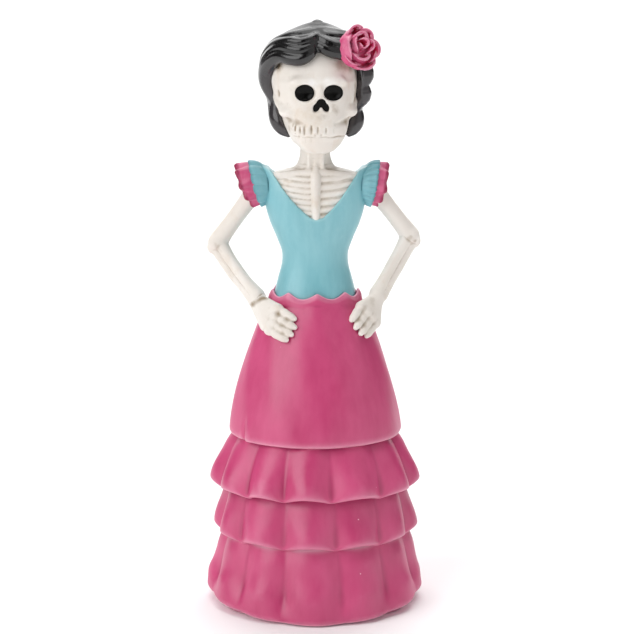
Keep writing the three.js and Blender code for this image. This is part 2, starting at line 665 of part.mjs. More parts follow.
// Two bones side by side that meet at the elbow and at the wrist
function forearm(side, grow = 0) {
  const elbow = elbowPoint(side);
  const wrist = wristPoint(side);
  const across = at(side, 0, 0.7).normalize();
  const bones = [-1, 1].map((way) => {
    const along = (t) => elbow.clone().lerp(wrist, t);
    const shifted = (t) => along(t).addScaledVector(across, way * FOREARM_BONE_SPREAD);
    const stations = [
      [along(0.12), FOREARM_BONE_RADIUS * 1.3],
      [shifted(0.4), FOREARM_BONE_RADIUS],
      [shifted(0.72), FOREARM_BONE_RADIUS],
      [along(0.98).addScaledVector(across, way * FOREARM_BONE_SPREAD * 0.5), WRIST_RADIUS * 0.9],
    ];
    return limb(stations, { sides: 6, rings: 5, grow });
  });
  return joined(bones);
}

function hand(side) {
  const right = side < 0;
  const knuckleAngle = right ? RIGHT_KNUCKLE_ANGLE : LEFT_KNUCKLE_ANGLE;
  const knuckleDrop = right ? RIGHT_KNUCKLE_DROP : LEFT_KNUCKLE_DROP;
  const knuckleSpread = right ? RIGHT_KNUCKLE_SPREAD : LEFT_KNUCKLE_SPREAD;
  const tipAngle = right ? RIGHT_TIP_ANGLE : LEFT_TIP_ANGLE;
  const tipDrop = right ? RIGHT_TIP_DROP : LEFT_TIP_DROP;
  const tipSpread = right ? RIGHT_TIP_SPREAD : LEFT_TIP_SPREAD;
  const lift = FINGER_RADIUS + 2 * GLUE_GAP;
  const finger = (k, share, arch) => {
    const turn = lerp(knuckleAngle, tipAngle, share) + k * lerp(knuckleSpread, tipSpread, share);
    return onHip(side, turn, lerp(knuckleDrop, tipDrop, share) + k * FINGER_PITCH, lift + arch);
  };
  const knuckle = (k) => finger(k, 0, KNUCKLE_LIFT);
  const wrist = wristPoint(side);
  const heart = knuckle(0).add(knuckle(3)).divideScalar(2);
  const outward = at(heart.x, heart.y, 0).normalize();
  const toKnuckle = (k, share) => wrist.clone().lerp(knuckle(k), share);
  const palm = limb([
    [wrist.clone().lerp(heart, 0.4), WRIST_RADIUS],
    [heart, PALM_RADIUS],
  ], { sides: 8, rings: 3, flatness: PALM_FLATNESS, facing: outward });
  const fingers = [0, 1, 2, 3].map((k) => limb([
    [toKnuckle(k, 0.5), FINGER_RADIUS],
    [knuckle(k), FINGER_RADIUS * 1.2],
    [finger(k, 0.5, FINGER_LIFT), FINGER_RADIUS],
    [finger(k, 1, 0), FINGER_RADIUS * 0.85],
  ], { sides: 5, rings: 4, facing: outward }));
  const thumb = limb([
    [wrist.clone().lerp(heart, 0.6), FINGER_RADIUS * 1.2],
    [onHip(side, knuckleAngle + THUMB_MIDDLE_TURN, knuckleDrop, lift + KNUCKLE_LIFT), FINGER_RADIUS],
    [onHip(side, knuckleAngle + THUMB_TIP_TURN, knuckleDrop + THUMB_TIP_DROP, lift), FINGER_RADIUS * 0.85],
  ], { sides: 5, rings: 3, facing: at(0, 0, 1) });
  const skirtRoom = solid(loft(bellFace(GLUE_GAP))).translate(0, 0, -waistLine);
  return joined([palm, thumb, ...fingers])
    .subtract(skirtRoom)
    .subtract(bodiceBlank(GLUE_GAP))
    .subtract(forearm(side, GLUE_GAP));
}

const sleeveTilt = degToRad(SLEEVE_TILT);

function sleeveMiddle(side) {
  return shoulderPoint(side).add(at(-side * SLEEVE_INSET, 0, 0));
}

// Share of a sleeve's length that is left under the arm, where it still stands out of the bodice
function underarmShare() {
  const seam = sleeveMiddle(1).add(at(-Math.sin(sleeveTilt), 0, -Math.cos(sleeveTilt))
    .multiplyScalar(ARMHOLE_HALF_HEIGHT));
  const clear = bodiceOval(seam.z).halfWidth + GLUE_GAP + UNDERARM_CLEARANCE;
  return (clear - seam.x) / Math.cos(sleeveTilt) / FRILL_LENGTH;
}

// Gathered band round the arm. It runs outward from `start` to `end`, shortest under the arm, and its
// radius gains `rise` at the start and `spread` at the end.
function sleeveBand(side, { start, end, rise, spread, bulge, thickness, wave }) {
  const centre = sleeveMiddle(side);
  const axis = at(side * Math.cos(sleeveTilt), 0, -Math.sin(sleeveTilt));
  const up = at(side * Math.sin(sleeveTilt), 0, Math.cos(sleeveTilt));
  const cover = (angle) => lerp(underarmShare(), 1, 0.5 + 0.5 * Math.cos(angle));
  const point = (angle, share, inset) => {
    const length = lerp(start, end, share);
    const along = length > 0 ? length * cover(angle) : length;
    const ripple = wave * share * Math.cos(SLEEVE_WAVE_COUNT * angle);
    const proud = lerp(rise, spread, share) + bulge * Math.sin(Math.PI * share) + ripple - inset;
    return centre.clone()
      .addScaledVector(axis, along)
      .addScaledVector(up, (ARMHOLE_HALF_HEIGHT + proud) * Math.cos(angle))
      .add(at(0, -side * (ARMHOLE_HALF_DEPTH + proud) * Math.sin(angle), 0));
  };
  const rows = [[0, thickness], [0, 0], [0.5, 0], [1, 0], [1, thickness]];
  const bands = rows.map(([share, inset]) => ring(SLEEVE_SIDES, (angle) => point(angle, share, inset)));
  return solid(loft(bands, true));
}

function sleeveFrill(side) {
  const band = { start: -FRILL_SEAM, end: FRILL_LENGTH, rise: 0, spread: FRILL_SPREAD,
    bulge: FRILL_BULGE, thickness: FRILL_THICKNESS, wave: FRILL_WAVE };
  return sleeveBand(side, band).subtract(bodiceBlank(GLUE_GAP)).subtract(upperArm(side, GLUE_GAP));
}

function sleeveTrim(side) {
  const start = FRILL_LENGTH + GLUE_GAP / underarmShare();
  const band = { start, end: start + TRIM_LENGTH, rise: FRILL_SPREAD, spread: TRIM_SPREAD,
    bulge: TRIM_BULGE, thickness: TRIM_THICKNESS, wave: TRIM_WAVE };
  return sleeveBand(side, band).subtract(upperArm(side, GLUE_GAP));
}

const sides = { right: -1, left: 1 };
const armRooms = Object.values(sides).map((side) => upperArm(side, GLUE_GAP));
const bodice = armRooms.reduce((shape, room) => shape.subtract(room), bodiceBlank()
  .subtract(neckline(NECKLINE_FRONT_DEPTH, -1))
  .subtract(neckline(NECKLINE_BACK_DEPTH, 1))
  .subtract(ribCageRoom()));
torso.add(piece("bodice", bodice, TURQUOISE, 0.4));
torso.add(piece("rib_cage", ribCage().subtract(neck(GLUE_GAP)), BONE, 0.5));
torso.add(piece("neck", neck(), BONE, 0.5));
for (const [name, side] of Object.entries(sides)) {
  torso.add(piece(`${name}_sleeve_frill`, sleeveFrill(side), TURQUOISE, 0.4));
  torso.add(piece(`${name}_sleeve_trim`, sleeveTrim(side), PINK, 0.4));
  torso.add(piece(`${name}_upper_arm`, upperArm(side), BONE, 0.5));
  torso.add(piece(`${name}_forearm`, forearm(side).subtract(upperArm(side, GLUE_GAP)), BONE, 0.5));
  torso.add(piece(`${name}_hand`, hand(side), BONE, 0.5));
}

// Head, in a frame at the middle of the cranium, turned a little to the figure's left

const head = new THREE.Group();
head.position.set(HEAD_SIDE, -HEAD_FORWARD, SHOULDER_HEIGHT + HEAD_RISE);
head.rotation.z = degToRad(HEAD_TURN);
head.updateMatrix();
const neckRoom = neck(GLUE_GAP).transform(head.matrix.clone().invert().elements);

const faceMiddle = -CRANIUM_HALF_DEPTH + FACE_HALF_DEPTH - 0.2;

// Face below the eyes, or the jaw below the mouth: level ovals between two heights
function faceBlock(stations, grow) {
  const highest = stations[0][0];
  const lowest = stations[stations.length - 1][0];
  const rising = [...stations].reverse();
  const sections = rising.map(([z, halfWidth, halfDepth]) => {
    const lift = (z === highest ? grow : 0) - (z === lowest ? grow : 0);
    return ring(FACE_SIDES, (angle) =>
      oval(angle, halfWidth + grow, halfDepth + grow, z + lift, FACE_SQUARE).add(at(0, faceMiddle, 0)));
  });
  return solid(loft(sections));
}

function cranium(grow = 0) {
  const halves = [CRANIUM_HALF_WIDTH, CRANIUM_HALF_DEPTH, CRANIUM_HALF_HEIGHT].map((half) => half + grow);
  return ellipsoid(at(0, 0, 0), ...halves, HEAD_SIDES, HEAD_RINGS);
}

function face(grow = 0) {
  return faceBlock([
    [0, CRANIUM_HALF_WIDTH * 0.86, FACE_HALF_DEPTH * 0.9],
    [-CHEEK_DROP, CRANIUM_HALF_WIDTH * 0.82, FACE_HALF_DEPTH * 0.94],
    [-lerp(CHEEK_DROP, MOUTH_DROP, 0.5), MOUTH_HALF_WIDTH * 1.08, FACE_HALF_DEPTH * 0.97],
    [-MOUTH_DROP, MOUTH_HALF_WIDTH, FACE_HALF_DEPTH * 0.94],
  ], grow);
}

function jaw(grow = 0) {
  const top = -MOUTH_DROP - GLUE_GAP;
  const block = faceBlock([
    [top, JAW_HALF_WIDTH * 0.95, FACE_HALF_DEPTH * 0.92],
    [lerp(top, -CHIN_DROP, 0.45), JAW_HALF_WIDTH * 0.84, FACE_HALF_DEPTH * 0.94],
    [lerp(top, -CHIN_DROP, 0.8), lerp(CHIN_HALF_WIDTH, JAW_HALF_WIDTH, 0.4), FACE_HALF_DEPTH * 0.88],
    [-CHIN_DROP, CHIN_HALF_WIDTH, FACE_HALF_DEPTH * 0.66],
  ], grow);
  const hinges = [-1, 1].map((side) => limb([
    [at(side * JAW_HALF_WIDTH * 0.86, faceMiddle + JAW_HINGE_BACK / 2, top - 1), JAW_HINGE_RADIUS],
    [at(side * JAW_HALF_WIDTH * 1.06, faceMiddle + JAW_HINGE_BACK, -JAW_HINGE_DROP), JAW_HINGE_RADIUS],
  ], { sides: 8, rings: 3, grow }));
  return joined([block, ...hinges]);
}

// Row of teeth along the front of the mouth; `way` is 1 for upper teeth and -1 for lower
function teeth(length, edge, way) {
  const across = degToRad(TOOTH_ARC) / TOOTH_COUNT;
  const halfWidth = MOUTH_HALF_WIDTH - TOOTH_SINK;
  const halfDepth = FACE_HALF_DEPTH * 0.92 - TOOTH_SINK;
  return Array.from({ length: TOOTH_COUNT }, (_, k) => {
    const angle = (k - (TOOTH_COUNT - 1) / 2) * across;
    const shaft = length - 2 * TOOTH_RADIUS;
    const rod = new THREE.CapsuleGeometry(TOOTH_RADIUS, shaft, 1, 5).rotateX(Math.PI / 2);
    const place = oval(angle, halfWidth, halfDepth, edge + (way * length) / 2, FACE_SQUARE);
    return solid(rod.translate(place.x, place.y + faceMiddle, place.z));
  });
}

function eyeSocket(side, share = 1) {
  const x = (side * EYE_SPACING) / 2;
  const out = 1 - (x / CRANIUM_HALF_WIDTH) ** 2 - (EYE_DROP / CRANIUM_HALF_HEIGHT) ** 2;
  const rim = at(x, -CRANIUM_HALF_DEPTH * Math.sqrt(out) - 0.2, -EYE_DROP);
  return { rim, well: ellipsoid(rim, EYE_HALF_WIDTH * share, EYE_DEPTH * share, EYE_HALF_HEIGHT * share) };
}

// Upturned heart of the nose hollow, `inset` smaller all round
function noseHollow(inset, from, to) {
  const half = NOSE_HALF_WIDTH - inset;
  const high = NOSE_HEIGHT / 2 - inset;
  const outline = new THREE.Shape();
  outline.moveTo(0, high);
  outline.bezierCurveTo(half * 0.7, high * 0.9, half * 1.15, -high * 0.3, half * 0.75, -high * 0.95);
  outline.bezierCurveTo(half * 0.5, -high * 1.25, half * 0.15, -high * 0.9, 0, -high * 0.45);
  outline.bezierCurveTo(-half * 0.15, -high * 0.9, -half * 0.5, -high * 1.25, -half * 0.75, -high * 0.95);
  outline.bezierCurveTo(-half * 1.15, -high * 0.3, -half * 0.7, high * 0.9, 0, high);
  return prism(outline, to - from, 4).translate(0, to, -NOSE_DROP);
}

const noseFront = faceMiddle - FACE_HALF_DEPTH * 0.94;

function skull() {
  const cheeks = [-1, 1].map((side) =>
    ellipsoid(at(side * CHEEK_HALF_SPAN, faceMiddle - CHEEK_FORWARD, -CHEEK_DROP),
      CHEEK_HALF_WIDTH, CHEEK_HALF_DEPTH, CHEEK_HALF_HEIGHT, 10, 6));
  const upperTeeth = teeth(UPPER_TOOTH_LENGTH, -MOUTH_DROP, 1);
  return joined([cranium(), face(), ...cheeks])
    .subtract(eyeSocket(-1).well)
    .subtract(eyeSocket(1).well)
    .subtract(noseHollow(0, noseFront - 2, noseFront + NOSE_DEPTH))
    .add(joined(upperTeeth))
    .subtract(jaw(GLUE_GAP))
    .subtract(neckRoom);
}

function lowerJaw() {
  const lowerTeeth = teeth(LOWER_TOOTH_LENGTH, -MOUTH_DROP - 1.2 * GLUE_GAP, -1);
  return jaw().add(joined(lowerTeeth)).subtract(neckRoom);
}

function eyeEnamel(side) {
  const { rim } = eyeSocket(side);
  const share = 1 - GLUE_GAP / EYE_HALF_HEIGHT;
  const sunk = rim.clone().add(at(0, ENAMEL_SINK + EYE_DEPTH, 0));
  const back = ellipsoid(sunk, EYE_HALF_WIDTH, EYE_DEPTH, EYE_HALF_HEIGHT);
  return eyeSocket(side, share).well.intersect(back);
}

function noseEnamel() {
  const floor = noseFront + NOSE_DEPTH - GLUE_GAP;
  return noseHollow(GLUE_GAP, floor - NOSE_DEPTH * 0.4, floor);
}

// Hair

const hairMiddle = at(0, (HAIR_BACK - HAIR_SIDE * 0.6) / 2 + 1, 2);
const hairHalfWidth = CRANIUM_HALF_WIDTH + HAIR_SIDE;
const hairHalfDepth = CRANIUM_HALF_DEPTH + HAIR_BACK - hairMiddle.y;
const hairHalfHeight = CRANIUM_HALF_HEIGHT + HAIR_TOP - hairMiddle.z;

// Opening for the face: its upper edge dips to each side of the parting
function faceWindow() {
  const half = CRANIUM_HALF_WIDTH + GLUE_GAP;
  const low = -2 * CHIN_DROP;
  const outline = new THREE.Shape();
  outline.moveTo(0, PARTING_HEIGHT);
  outline.quadraticCurveTo(-half * 0.24, SWOOP_HEIGHT, -half * 0.56, SWOOP_HEIGHT);
  outline.quadraticCurveTo(-half, SWOOP_HEIGHT, -half, 0);
  outline.lineTo(-half, low);
  outline.lineTo(half, low);
  outline.lineTo(half, 0);
  outline.quadraticCurveTo(half, SWOOP_HEIGHT, half * 0.56, SWOOP_HEIGHT);
  outline.quadraticCurveTo(half * 0.24, SWOOP_HEIGHT, 0, PARTING_HEIGHT);
  const reach = 2 * hairHalfDepth;
  return prism(outline, reach, 6).translate(0, -CRANIUM_HALF_DEPTH * 0.25, 0);
}

function headRoom() {
  return joined([cranium(GLUE_GAP), face(GLUE_GAP), jaw(GLUE_GAP)]);
}

// Rolled end of the hair: from the back of the head round one side to a curl at the jaw
function lock(side) {
  const back = side * degToRad(178);
  const end = side * degToRad(LOCK_FRONT_ANGLE);
  const sections = steps(0, 1, 8).map((t) => {
    const angle = lerp(back, end, t);
    const curl = smoothstep(t, 0.6, 1);
    const share = lerp(1, LOCK_END_SHARE, smoothstep(t, 0.75, 1));
    const reach = hairHalfWidth - LOCK_HALF_THICKNESS - lerp(1.2, 3.2, curl);
    const fall = -LOCK_DROP - LOCK_END_DROP * curl;
    const middle = oval(angle, reach, hairHalfDepth - LOCK_HALF_THICKNESS - 2, fall);
    middle.y += hairMiddle.y;
    const out = at(Math.sin(angle), -Math.cos(angle), 0);
    const thick = LOCK_HALF_THICKNESS * share;
    const tall = LOCK_HALF_HEIGHT * share;
    return ring(8, (turn) => middle.clone()
      .addScaledVector(out, side * thick * Math.cos(turn))
      .add(at(0, 0, tall * Math.sin(turn))));
  });
  return solid(loft(sections));
}

function hairLock(side) {
  const half = new THREE.BoxGeometry(2 * hairHalfWidth, 4 * hairHalfDepth, 4 * CHIN_DROP)
    .translate(side * (hairHalfWidth + GLUE_GAP / 2), 0, 0);
  return lock(side).intersect(solid(half)).subtract(headRoom()).subtract(neckRoom);
}

const crownFloor = -LOCK_DROP + LOCK_HALF_HEIGHT + GLUE_GAP;

// Hair combed from the parting down to the lower edge of the crown
function combedHair() {
  const lowest = Math.acos((crownFloor - hairMiddle.z) / hairHalfHeight);
  const levels = steps(lowest, degToRad(COMBED_TOP), 8).map((fall) => {
    const share = Math.sin(fall);
    const pinch = 1 - PARTING_PINCH * Math.max(0, Math.cos(fall)) ** 3;
    return ring(HAIR_SIDES, (angle) => {
      const crown = Math.abs(Math.cos((COMBED_LOCKS / 2) * (angle - Math.PI)));
      const relief = COMBED_RELIEF * lerp(1, COMBED_FRONT_SHARE, smoothstep(Math.cos(angle), 0, 0.8));
      const groove = share * relief * (1 - crown);
      const z = hairMiddle.z + hairHalfHeight * Math.cos(fall);
      const point = oval(angle, share * pinch * hairHalfWidth - groove, share * hairHalfDepth - groove, z);
      return point.add(at(0, hairMiddle.y, 0));
    });
  });
  return solid(loft(levels));
}

function sweptLock() {
  return limb(SWEPT_LOCK.map(([turn, height, radius, sink]) => {
    const share = Math.sqrt(1 - ((height - hairMiddle.z) / hairHalfHeight) ** 2);
    const middle = oval(-degToRad(turn), share * hairHalfWidth - sink, share * hairHalfDepth - sink, height);
    return [middle.add(at(0, hairMiddle.y, 0)), radius];
  }), { sides: 8, rings: 7, facing: at(0, 0, 1) });
}

function hairCrown() {
  return combedHair()
    .subtract(faceWindow())
    .add(sweptLock())
    .subtract(headRoom())
    .subtract(neckRoom)
    .subtract(roseStem(GLUE_GAP));
}

// Rose, modelled upright and then set on the hair

function rosePlace() {
  const around = degToRad(ROSE_ANGLE);
  const rise = degToRad(ROSE_RISE);
  const way = at(Math.sin(around) * Math.cos(rise), -Math.cos(around) * Math.cos(rise), Math.sin(rise));
  const seat = at(way.x * hairHalfWidth, way.y * hairHalfDepth, way.z * hairHalfHeight).add(hairMiddle);
  seat.addScaledVector(way, ROSE_STANDOFF);
  const turn = new THREE.Quaternion().setFromUnitVectors(at(0, 0, 1), way);
  return new THREE.Matrix4().compose(seat, turn, at(1, 1, 1));
}

function roseStem(grow) {
  const low = -ROSE_STANDOFF - HAIR_PEG_LENGTH - grow;
  return upright(HAIR_PEG_RADIUS + grow, low, 1, 10).transform(rosePlace().elements);
}

// One sculpted form: each layer of petals rises to a waved rim and falls into the fold before the next
function rose() {
  const waved = (radius, z, petals, turn) => ring(ROSE_SIDES, (angle) => {
    const wave = petals ? Math.cos(petals * (angle - degToRad(turn))) : 0;
    const reach = radius * (1 + PETAL_LOBE * wave);
    return at(reach * Math.cos(angle), reach * Math.sin(angle), z + PETAL_WAVE * wave);
  });
  const layers = ROSE_LAYERS.flatMap(({ reach, rim, fold, petals, turn }, k) => {
    const next = k + 1 < ROSE_LAYERS.length ? ROSE_LAYERS[k + 1].reach : ROSE_HEART_RADIUS;
    return [
      waved(reach, rim - PETAL_THICKNESS / 2, petals, turn),
      waved(reach - PETAL_THICKNESS / 2, rim, petals, turn),
      waved(reach - PETAL_THICKNESS, rim - PETAL_THICKNESS / 2, petals, turn),
      waved(next + PETAL_THICKNESS / 4, fold, 0, 0),
    ];
  });
  const [{ reach, fold }] = ROSE_LAYERS;
  const cup = [
    waved(HAIR_PEG_RADIUS * 1.2, -ROSE_CUP_DEPTH, 0, 0),
    waved(reach * 0.66, -ROSE_CUP_DEPTH * 0.6, 0, 0),
    waved(reach * 0.92, fold, 0, 0),
  ];
  const heart = waved(ROSE_HEART_RADIUS, ROSE_HEART_HEIGHT, 0, 0);
  return solid(loft([...cup, ...layers, heart])).transform(rosePlace().elements).add(roseStem(0));
}

head.add(piece("skull", skull(), BONE, 0.5));
head.add(piece("lower_jaw", lowerJaw(), BONE, 0.5));
head.add(piece("nose_enamel", noseEnamel(), ENAMEL_BLACK, 0.2));
head.add(piece("hair_crown", hairCrown(), HAIR_BLACK, 0.25));
head.add(piece("rose", rose(), DEEP_PINK, 0.4));
for (const [name, side] of Object.entries(sides)) {
  head.add(piece(`${name}_eye_enamel`, eyeEnamel(side), ENAMEL_BLACK, 0.2));
  head.add(piece(`${name}_lock`, hairLock(side), HAIR_BLACK, 0.25));
}
torso.add(head);

const figurine = new THREE.Group();
figurine.add(skirt, torso);

export default figurine;
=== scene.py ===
from math import atan2, cos, exp, hypot, pi, radians, sin, sqrt

import bpy
import numpy as np
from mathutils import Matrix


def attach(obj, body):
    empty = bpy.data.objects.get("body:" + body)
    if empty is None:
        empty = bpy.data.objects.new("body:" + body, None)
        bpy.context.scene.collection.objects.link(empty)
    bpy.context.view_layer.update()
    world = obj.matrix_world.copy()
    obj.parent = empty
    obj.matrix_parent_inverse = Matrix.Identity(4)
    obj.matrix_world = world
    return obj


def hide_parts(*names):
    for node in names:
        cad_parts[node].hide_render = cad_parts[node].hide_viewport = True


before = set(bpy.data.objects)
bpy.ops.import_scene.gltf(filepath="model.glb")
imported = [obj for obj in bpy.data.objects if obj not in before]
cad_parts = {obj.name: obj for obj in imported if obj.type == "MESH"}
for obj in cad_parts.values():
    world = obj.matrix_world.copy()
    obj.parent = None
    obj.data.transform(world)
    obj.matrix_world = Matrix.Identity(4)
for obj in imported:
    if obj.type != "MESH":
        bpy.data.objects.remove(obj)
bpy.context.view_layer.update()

import openvdb

# Lengths are in millimetres until a piece is cast. The figure faces -Y and its own left side is +X.
MM = 0.001
FAR = 1e3  # clay field away from every form
TONGUE = 0.7  # how far a casting runs on under its neighbour
TONGUE_SINK = 0.05  # how far a tongue lies under the neighbour's skin
STAIN_REACH = 3  # a stain further than this from a piece belongs to another one


def full_turn(count):
    return np.linspace(0, 2 * pi, count, endpoint=False)


def unit(way):
    return way / np.linalg.norm(way)


def smooth(low, high, at):
    """An eased rise from 0 at low to 1 at high."""
    t = np.clip((at - low) / (high - low), 0, 1)
    return t * t * (3 - 2 * t)


def through(stations, at):
    """Smooth curve through (place, value) stations, read at the given places."""
    place, value = np.array(stations, float).T
    slope = np.gradient(value, place)
    k = np.clip(np.searchsorted(place, at) - 1, 0, len(place) - 2)
    step = place[k + 1] - place[k]
    t = np.clip((at - place[k]) / step, 0, 1)
    start = (2 * t ** 3 - 3 * t ** 2 + 1) * value[k] + (t ** 3 - 2 * t ** 2 + t) * step * slope[k]
    return start + (3 * t ** 2 - 2 * t ** 3) * value[k + 1] + (t ** 3 - t ** 2) * step * slope[k + 1]


def trail(points, count):
    """Points spread evenly on a smooth curve; each point may carry a radius as a fourth number."""
    points = np.array(points, float)
    run = np.concatenate([[0], np.cumsum(np.linalg.norm(np.diff(points[:, :3], axis=0), axis=1))])
    at = np.linspace(0, run[-1], count)
    return np.stack([through(np.stack([run, axis], -1), at) for axis in points.T], -1)


def loft(rings, hoop=False):
    """Closed skin over rings of points (rows, around, 3): capped at both ends, or joined into a hoop."""
    rows, around, _ = rings.shape
    at = np.arange(rows * around).reshape(rows, around)
    on = np.roll(at, -1, axis=1)
    if hoop:
        quads = np.stack([at, on, np.roll(on, -1, axis=0), np.roll(at, -1, axis=0)], -1)
        return rings.reshape(-1, 3), [quads.reshape(-1, 4)]
    quads = np.stack([at[:-1], on[:-1], on[1:], at[1:]], -1)
    foot = np.full(around, rows * around)
    caps = [np.stack([on[0], at[0], foot], -1), np.stack([at[-1], on[-1], foot + 1], -1)]
    points = np.concatenate([rings.reshape(-1, 3), rings[:1].mean(1), rings[-1:].mean(1)])
    return points, [quads.reshape(-1, 4), np.concatenate(caps)]


def softened(points, edges, rounds):
    a, b = edges.T
    size = len(points)
    count = np.maximum(np.bincount(a, minlength=size) + np.bincount(b, minlength=size), 1)[:, None]
    soft = points.copy()
    for _ in range(rounds):
        near = [np.bincount(a, axis[b], size) + np.bincount(b, axis[a], size) for axis in soft.T]
        soft = 0.5 * soft + 0.5 * np.stack(near, -1) / count
    return soft


def placed(name, data):
    """A new object in the scene."""
    made = bpy.data.objects.new(name, data)
    bpy.context.scene.collection.objects.link(made)
    return made


def cast(name, skin, paint, spread, normals=None, hollow=None):
    """Make the painted piece that stands for a CAD node, with its hollows and crests as an attribute."""
    points, faces = skin
    material, slot = paint
    mesh = bpy.data.meshes.new(name + "_painted")
    mesh.vertices.add(len(points))
    corners = np.concatenate([f.ravel() for f in faces]).astype(np.int32)
    sizes = np.concatenate([np.full(len(f), f.shape[1]) for f in faces])
    mesh.loops.add(len(corners))
    mesh.loops.foreach_set("vertex_index", corners)
    mesh.polygons.add(len(sizes))
    mesh.polygons.foreach_set("loop_start", np.concatenate([[0], np.cumsum(sizes)[:-1]]).astype(np.int32))
    mesh.polygons.foreach_set("use_smooth", np.ones(len(sizes), bool))
    mesh.update(calc_edges=True)
    mesh.vertices.foreach_set("co", (points * MM).astype(np.float32).ravel())
    mesh.update()
    if hollow is None:
        edges = np.empty(len(mesh.edges) * 2, np.int32)
        mesh.edges.foreach_get("vertices", edges)
        facing = np.empty(len(points) * 3, np.float32)
        mesh.vertices.foreach_get("normal", facing)
        rise = softened(points, edges.reshape(-1, 2), spread) - points
        hollow = (rise * facing.reshape(-1, 3)).sum(1)
    mesh.attributes.new("hollow", "FLOAT", "POINT").data.foreach_set("value", hollow.astype(np.float32))
    if normals is not None:
        mesh.normals_split_custom_set_from_vertices(normals)
    mesh.materials.append(material)
    piece = placed(name + "_painted", mesh)
    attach(piece, "root")
    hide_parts(name)


def merged(a, b, blend):
    """The smaller of two fields, with a fillet."""
    if not blend:
        return np.minimum(a, b)
    h = np.clip(0.5 + 0.5 * (b - a) / blend, 0, 1)
    return b + (a - b) * h - blend * h * (1 - h)


def window_of(axes, low, high):
    """The part of a grid between two corners, and its coordinates."""
    window = tuple(slice(*np.searchsorted(axis, ends)) for axis, *ends in zip(axes, low, high))
    return window, np.meshgrid(*(axis[w] for axis, w in zip(axes, window)), indexing="ij", sparse=True)


class Clay:
    """Signed distance on a grid, to which forms are added and from which they are cut."""

    def __init__(self, low, high, voxel):
        self.low = np.array(low, float)
        self.voxel = voxel
        size = np.ceil((np.array(high) - self.low) / voxel).astype(int) + 1
        self.axes = [(np.arange(n) * voxel + start).astype(np.float32) for n, start in zip(size, self.low)]
        self.field = np.full(size, FAR, np.float32)

    def near(self, form, blend):
        pad = blend + 2 * self.voxel
        return window_of(self.axes, np.array(form[0]) - pad, np.array(form[1]) + pad)

    def add(self, form, blend=0):
        window, grid = self.near(form, blend)
        self.field[window] = merged(self.field[window], form[2](*grid), blend)

    def cut(self, form, blend=0):
        window, grid = self.near(form, blend)
        self.field[window] = -merged(-self.field[window], form[2](*grid), blend)

    def grid(self):
        return np.meshgrid(*self.axes, indexing="ij", sparse=True)

    def settle(self, spread):
        """Keep a blurred copy of the finished form; it tells hollows from crests."""
        soft = np.clip(self.field, -3, 3)
        for axis in (0, 1, 2):
            for _ in range(spread):
                moved = soft.copy()
                into, was = np.moveaxis(moved, axis, 0), np.moveaxis(soft, axis, 0)
                into[:-1] += was[1:]
                into[1:] += was[:-1]
                soft = moved / 3
        self.soft = soft

    def read(self, field, points):
        """Values of a field between the places of the grid."""
        at = (points - self.low) / self.voxel
        base = np.clip(np.floor(at).astype(int), 0, np.array(field.shape) - 2)
        share = np.clip(at - base, 0, 1)
        total = 0
        for corner in np.ndindex(2, 2, 2):
            weight = np.prod(np.where(corner, share, 1 - share), axis=1)
            total = total + weight * field[tuple((base + corner).T)]
        return total

    def cast(self, name, paint, keep=None, place=None, tongue=0, spots=(), shade=None):
        """Cast the part of the clay where keep is negative, with the whole form's normals across the cut.

        A tongue carries it on just under the skin of its neighbour. Spots are stains: place, radius, strength.
        """
        field = self.field
        if keep is not None:
            field = np.maximum(field + TONGUE_SINK * (keep > 0) * (tongue > 0), keep - tongue)
        points, faces = self.skin(field)
        reach = 0.6 * self.voxel
        slope = [self.read(self.field, points + step) - self.read(self.field, points - step)
                 for step in reach * np.eye(3)]
        normals = np.stack(slope, -1)
        normals /= np.linalg.norm(normals, axis=1, keepdims=True) + 1e-9
        buried = self.read(self.field, points) < -1.5 * self.voxel
        hollow = np.where(buried, 0, -self.read(self.soft, points))
        for x, y, z, wide, depth in spots:
            apart = ((points - (x, y, z)) ** 2).sum(1)
            if apart.min() < STAIN_REACH ** 2:
                nearest = points[np.argmin(apart)]
                hollow = hollow + depth * np.exp(-((points - nearest) ** 2).sum(1) / wide ** 2)
        if shade is not None:
            hollow = hollow + shade(points, normals)
        if place is not None:
            points, normals = place(points), place(normals, True)
        cast(name, (points, faces), paint, 0, normals, hollow)

    def skin(self, field):
        """Points and faces where a field is zero."""
        reach = 4 * self.voxel
        solid = np.pad(np.clip(field, -reach, reach), 1, constant_values=reach)
        volume = openvdb.FloatGrid(reach)
        volume.copyFromArray(np.ascontiguousarray(solid, np.float32))
        volume.transform = openvdb.createLinearTransform(voxelSize=self.voxel)
        points, triangles, quads = volume.convertToPolygons(isovalue=0.0, adaptivity=0.0)
        faces = [f for f in (quads, triangles) if len(f)]
        return points.astype(float) + self.low - self.voxel, faces


def along(grid, way):
    """How far the places of a grid lie along a direction."""
    return sum(axis * step for axis, step in zip(grid, way))


def egg(centre, halves, axes=None):
    """Ellipsoid; the columns of axes are its own directions."""
    centre, halves = np.array(centre, float), np.array(halves, float)
    reach = halves if axes is None else np.abs(axes) @ halves

    def distance(x, y, z):
        p = [x - centre[0], y - centre[1], z - centre[2]]
        if axes is not None:
            p = [along(p, own) for own in axes.T]
        near = np.sqrt(sum((q / h) ** 2 for q, h in zip(p, halves)))
        return near * (near - 1) / (np.sqrt(sum((q / h ** 2) ** 2 for q, h in zip(p, halves))) + 1e-6)

    return centre - reach, centre + reach, distance


